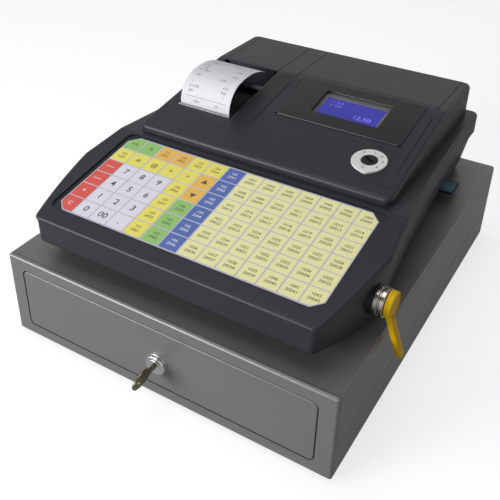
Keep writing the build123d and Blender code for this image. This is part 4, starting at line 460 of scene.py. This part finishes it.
glass = Finish("display_glass", Roughness=0.3, Emission_Strength=1.0)
x, y, z = glass.local(view, SLOPE)
lit = (abs(x) < GLASS_SIZE[0] / 2) * (abs(y + GLASS_AHEAD) < GLASS_SIZE[1] / 2)
glow = glass.noise(30.0)
pixels = glass.mix(glow, srgb(44, 44, 150), srgb(62, 62, 176))
glass.feed(Base_Color=glass.mix(lit, srgb(150, 148, 144), srgb(30, 30, 90)),
           Metallic=(1 - lit) * 0.2, Emission_Color=glass.mix(lit, (0, 0, 0, 1), pixels))
cover(["lcd_module"], glass)

segment = Finish("display_segments", Roughness=0.5, Emission_Strength=1.0)
flicker = segment.noise(50.0)
segment.feed(Base_Color=segment.mix(flicker, srgb(120, 120, 200), srgb(130, 130, 210)),
             Emission_Color=segment.mix(flicker, srgb(104, 104, 190), srgb(122, 122, 205)))
panel = (Matrix.Translation(view) @ Matrix.Rotation(SLOPE, 4, "X")
         @ Matrix.Translation((0, -GLASS_AHEAD, -GLASS_DEPTH)))
LINES = (("1   4.50", 0.0028, -0.018, 0.0095), ("2   8.00", 0.0028, -0.018, 0.0040),
         ("12.50", 0.0062, 0.014, -0.0068))
figures = [figure(text, tall, panel @ Matrix.Translation((across, along, 0.0)))
           for text, tall, across, along in LINES]
print_piece("display_figures", figures, segment)

# ------------------------------------------------------------------ mode lock
# A white ring plate drawn out to a point, with the lock's positions numbered on it, round a
# black plug with a slot for the key.
white_plastic = Finish("white_moulding", Specular_IOR_Level=0.4)
tone = white_plastic.noise(80.0)
white_plastic.feed(Base_Color=white_plastic.mix(tone, srgb(218, 218, 217), srgb(230, 230, 229)),
                   Roughness=0.36 + tone * 0.1)
cover(["mode_dial"], white_plastic)
black_gloss = Finish("black_gloss", Specular_IOR_Level=0.5)
tone = black_gloss.noise(200.0)
black_gloss.feed(Base_Color=black_gloss.mix(tone, srgb(18, 18, 19), srgb(28, 28, 30)),
                 Roughness=0.2 + tone * 0.12)
cover(["mode_plug", "mode_switch", "rear_ports", "power_rocker", "waiter_contact", "feed_motor"],
      black_gloss)

DIAL_R, DIAL_EDGE, DIAL_TEXT_R, DIAL_FIGURE = 0.0162, 0.0005, 0.0119, 0.0030
POSITIONS = (("0", 264), ("1", 88), ("2", 46), ("3", 8), ("4", 324), ("5", 136))
low, high = (Vector(corner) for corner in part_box("mode_dial"))
hub = Vector((sum(corner[0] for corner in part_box("mode_plug")) / 2,
              high.y - DIAL_R * math.cos(SLOPE), high.z - (DIAL_R - DIAL_EDGE) * math.sin(SLOPE)))
ring = Matrix.Translation(hub) @ Matrix.Rotation(SLOPE, 4, "X")
figures = []
for text, angle in POSITIONS:
    angle = math.radians(angle)
    spot = (DIAL_TEXT_R * math.cos(angle), DIAL_TEXT_R * math.sin(angle), PRINT_RISE * 4)
    figures.append(figure(text, DIAL_FIGURE, ring @ Matrix.Translation(spot)))
print_piece("dial_figures", figures, dark_ink)

# ------------------------------------------------------------------ printer
# A thermal printer is screwed to posts in a well under the lifting cover. The strip comes off the
# roll, leaves the slot behind the steel tear bar and curls back over the roof.
thermal = Finish("thermal_paper", Roughness=0.6, Specular_IOR_Level=0.3)
tooth = thermal.noise(1400.0, 4.0)
thermal.feed(Base_Color=thermal.mix(tooth, srgb(214, 214, 222), srgb(226, 226, 232)))
cover(["paper_roll", "receipt_paper"], thermal)

# The strip turns back in one bend and a long curl. Its print runs across it, and its end is torn
# along the bar's teeth.
STRIP_MIDDLE, STRIP_W = -0.0946, 0.0575
BEND_AT, BEND_R, BEND_TURN = Vector((0, 0.0475, 0.17407)), 0.026, math.radians(76)
CURL_R, CURL_TURN = 0.075, math.radians(39)
RECEIPT_FIGURE = 0.0025
PRINTED_ROWS = (       # how far along the strip, and what stands how far from its middle
    (0.004, ((-0.010, "0001"), (0.013, "24"))),
    (0.014, ((-0.019, "007"), (0.019, "1"))),
    (0.019, ((-0.017, "2 × 4.00"), (0.018, "8.00"))),
    (0.024, ((-0.021, "1"), (0.018, "4.50"))),
    (0.033, ((-0.019, "103"), (0.010, "12.50"))),
    (0.042, ((-0.018, "2 × 4.00"), (0.019, "8.00"))),
    (0.047, ((-0.019, "102"), (0.000, "1"))),
    (0.053, ((-0.020, "101"), (0.018, "4.50"))),
    (0.062, ((-0.018, "10.30"),)),
    (0.073, ((0.0, "0 1 2 3 4 5"),)),
    (0.0765, ((0.004, "6 7 8 9"),)))
RULES, RULE_T, RULE_SHARE = (0.0085, 0.0670), 0.00035, 0.82


def on_strip(across, along):
    """Place on the strip's outer face: across from its middle, along from the slot."""
    centre, radius, angle = BEND_AT.copy(), BEND_R, along / BEND_R
    if angle > BEND_TURN:
        radius, angle = CURL_R, BEND_TURN + (along - BEND_R * BEND_TURN) / CURL_R
        centre += (CURL_R - BEND_R) * Vector((0, math.cos(BEND_TURN), -math.sin(BEND_TURN)))
    out = Vector((0, -math.cos(angle), math.sin(angle)))
    turned = Matrix.Rotation(math.pi / 2 - angle, 4, "X")
    return Matrix.Translation(centre + (radius + PRINT_RISE * 2) * out
                              + Vector((STRIP_MIDDLE + across, 0, 0))) @ turned


heat_ink = Finish("heated_print", Roughness=0.6, Specular_IOR_Level=0.3)
fade = heat_ink.noise(300.0, 3.0)
heat_ink.feed(Base_Color=heat_ink.mix(fade, srgb(84, 84, 100), srgb(136, 136, 150)))
figures = [figure(text, RECEIPT_FIGURE, on_strip(across, along))
           for along, row in PRINTED_ROWS for across, text in row]
for along in RULES:
    bpy.ops.object.select_all(action="DESELECT")
    bpy.ops.mesh.primitive_grid_add(x_subdivisions=24, y_subdivisions=1, size=1)
    rule = bpy.context.object
    rule.data.transform(on_strip(0, along) @ Matrix.Diagonal((STRIP_W * RULE_SHARE, RULE_T, 1, 1)))
    figures.append(rule)
print_piece("receipt_print", figures, heat_ink)

TEETH, TOOTH_L, PAPER_T = 36, 0.0009, 0.00025
NOTCH_END = 0.05       # how far from the strip a notch ends, as a share of a tooth
bpy.ops.object.select_all(action="DESELECT")
bpy.ops.mesh.primitive_grid_add(x_subdivisions=TEETH, y_subdivisions=1, size=1)
torn = bpy.context.object
strip_l = BEND_R * BEND_TURN + CURL_R * CURL_TURN
torn.data.transform(Matrix.Translation((0, 0.5, 0)))
for vertex in torn.data.vertices:
    column = round((vertex.co.x + 0.5) * TEETH)
    if vertex.co.y > 0.5 and column % 2:
        vertex.co.y = NOTCH_END
torn.data.transform(on_strip(0, strip_l) @ Matrix.Translation((0, 0, -PRINT_RISE * 2))
                    @ Matrix.Diagonal((STRIP_W, TOOTH_L, 1, 1)))
thickness = torn.modifiers.new("paper", "SOLIDIFY")
thickness.thickness, thickness.offset = PAPER_T, -1
bpy.ops.object.modifier_apply(modifier="paper")
torn.name = "torn_edge"
torn.data.materials.append(thermal.material)
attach(torn, "register")

# The roll is wound on a card tube that turns on two pegs of the chassis. A rubber roller draws
# the paper past a ceramic print head.
card_tube = Finish("card_tube", Roughness=0.8)
fibre = card_tube.noise(600.0, 3.0)
card_tube.feed(Base_Color=card_tube.mix(fibre, srgb(150, 130, 104), srgb(178, 158, 130)))
cover(["paper_core"], card_tube)
cover(["platen_roller"], rubber)
ceramic = Finish("glazed_ceramic", Roughness=0.2)
glaze = ceramic.noise(200.0)
ceramic.feed(Base_Color=ceramic.mix(glaze, srgb(140, 128, 110), srgb(160, 148, 128)))
cover(["print_head"], ceramic)

# ------------------------------------------------------------------ electronics
# A fibreglass board under green solder resist is screwed to posts in the lower shell. Beside it
# stands the transformer of the power supply, of stacked iron sheets.
resist = Finish("solder_resist", Roughness=0.35)
weave = resist.noise(800.0)
resist.feed(Base_Color=resist.mix(weave, srgb(16, 84, 46), srgb(24, 100, 58)))
cover(["main_board"], resist)
core = Finish("laminated_iron", Metallic=0.6, Roughness=0.5)
plates = core.noise(500.0, 1.0, (1, 0.02, 0.02))
core.feed(Base_Color=core.mix(plates, srgb(66, 62, 58), srgb(98, 94, 88)))
cover(["power_supply"], core)

# ------------------------------------------------------------------ side lock
# A nickel-plated collar of two rings sits in the right wall. The clerk's key pushes into it and
# is one yellow moulding: stub, dished disc and handle.
nickel = Finish("nickel_plate", Metallic=1.0)
wipe = nickel.noise(400.0, 3.0)
nickel.feed(Base_Color=nickel.mix(wipe, srgb(150, 146, 138), srgb(190, 186, 178)),
            Roughness=0.16 + wipe * 0.14)
cover(["waiter_collar"], nickel)
yellow = Finish("yellow_moulding", Specular_IOR_Level=0.2)
tone = yellow.noise(120.0)
yellow.feed(Base_Color=yellow.mix(tone, srgb(246, 192, 6), srgb(252, 204, 14)),
            Roughness=0.34 + tone * 0.1)
cover(["waiter_key"], yellow)

# ------------------------------------------------------------------ memory card
# A card of dark blue plastic with a teal label stuck on it is pushed into a metal socket behind
# the right wall, and stands out of the slot.
LABEL_INSET, LABEL_DEPTH = 0.0016, 0.0002
low, high = (Vector(corner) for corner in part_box("sd_card"))
card = Finish("card_plastic", Roughness=0.4)
x, y, z = card.local((low + high) / 2)
half = (high - low) / 2
label = ((abs(x) < half.x - LABEL_INSET) * (abs(y) < half.y - LABEL_INSET)
         * (z > half.z - LABEL_DEPTH))
patch = card.noise(90.0, 1.0)
printed = card.mix(patch, srgb(34, 92, 116), srgb(92, 148, 162))
card.feed(Base_Color=card.mix(label, srgb(20, 34, 62), printed))
cover(["sd_card"], card)

# ------------------------------------------------------------------ customer's display
# A moulded box on steel pins tilts up at the rear right of the roof. A pane of dark acrylic
# closes its window towards the customer.
shadow = Finish("dark_acrylic", Roughness=0.12, Specular_IOR_Level=0.5)
smear = shadow.noise(120.0, 3.0)
shadow.feed(Base_Color=shadow.mix(smear, srgb(24, 22, 25), srgb(34, 32, 36)))
cover(["customer_window"], shadow)
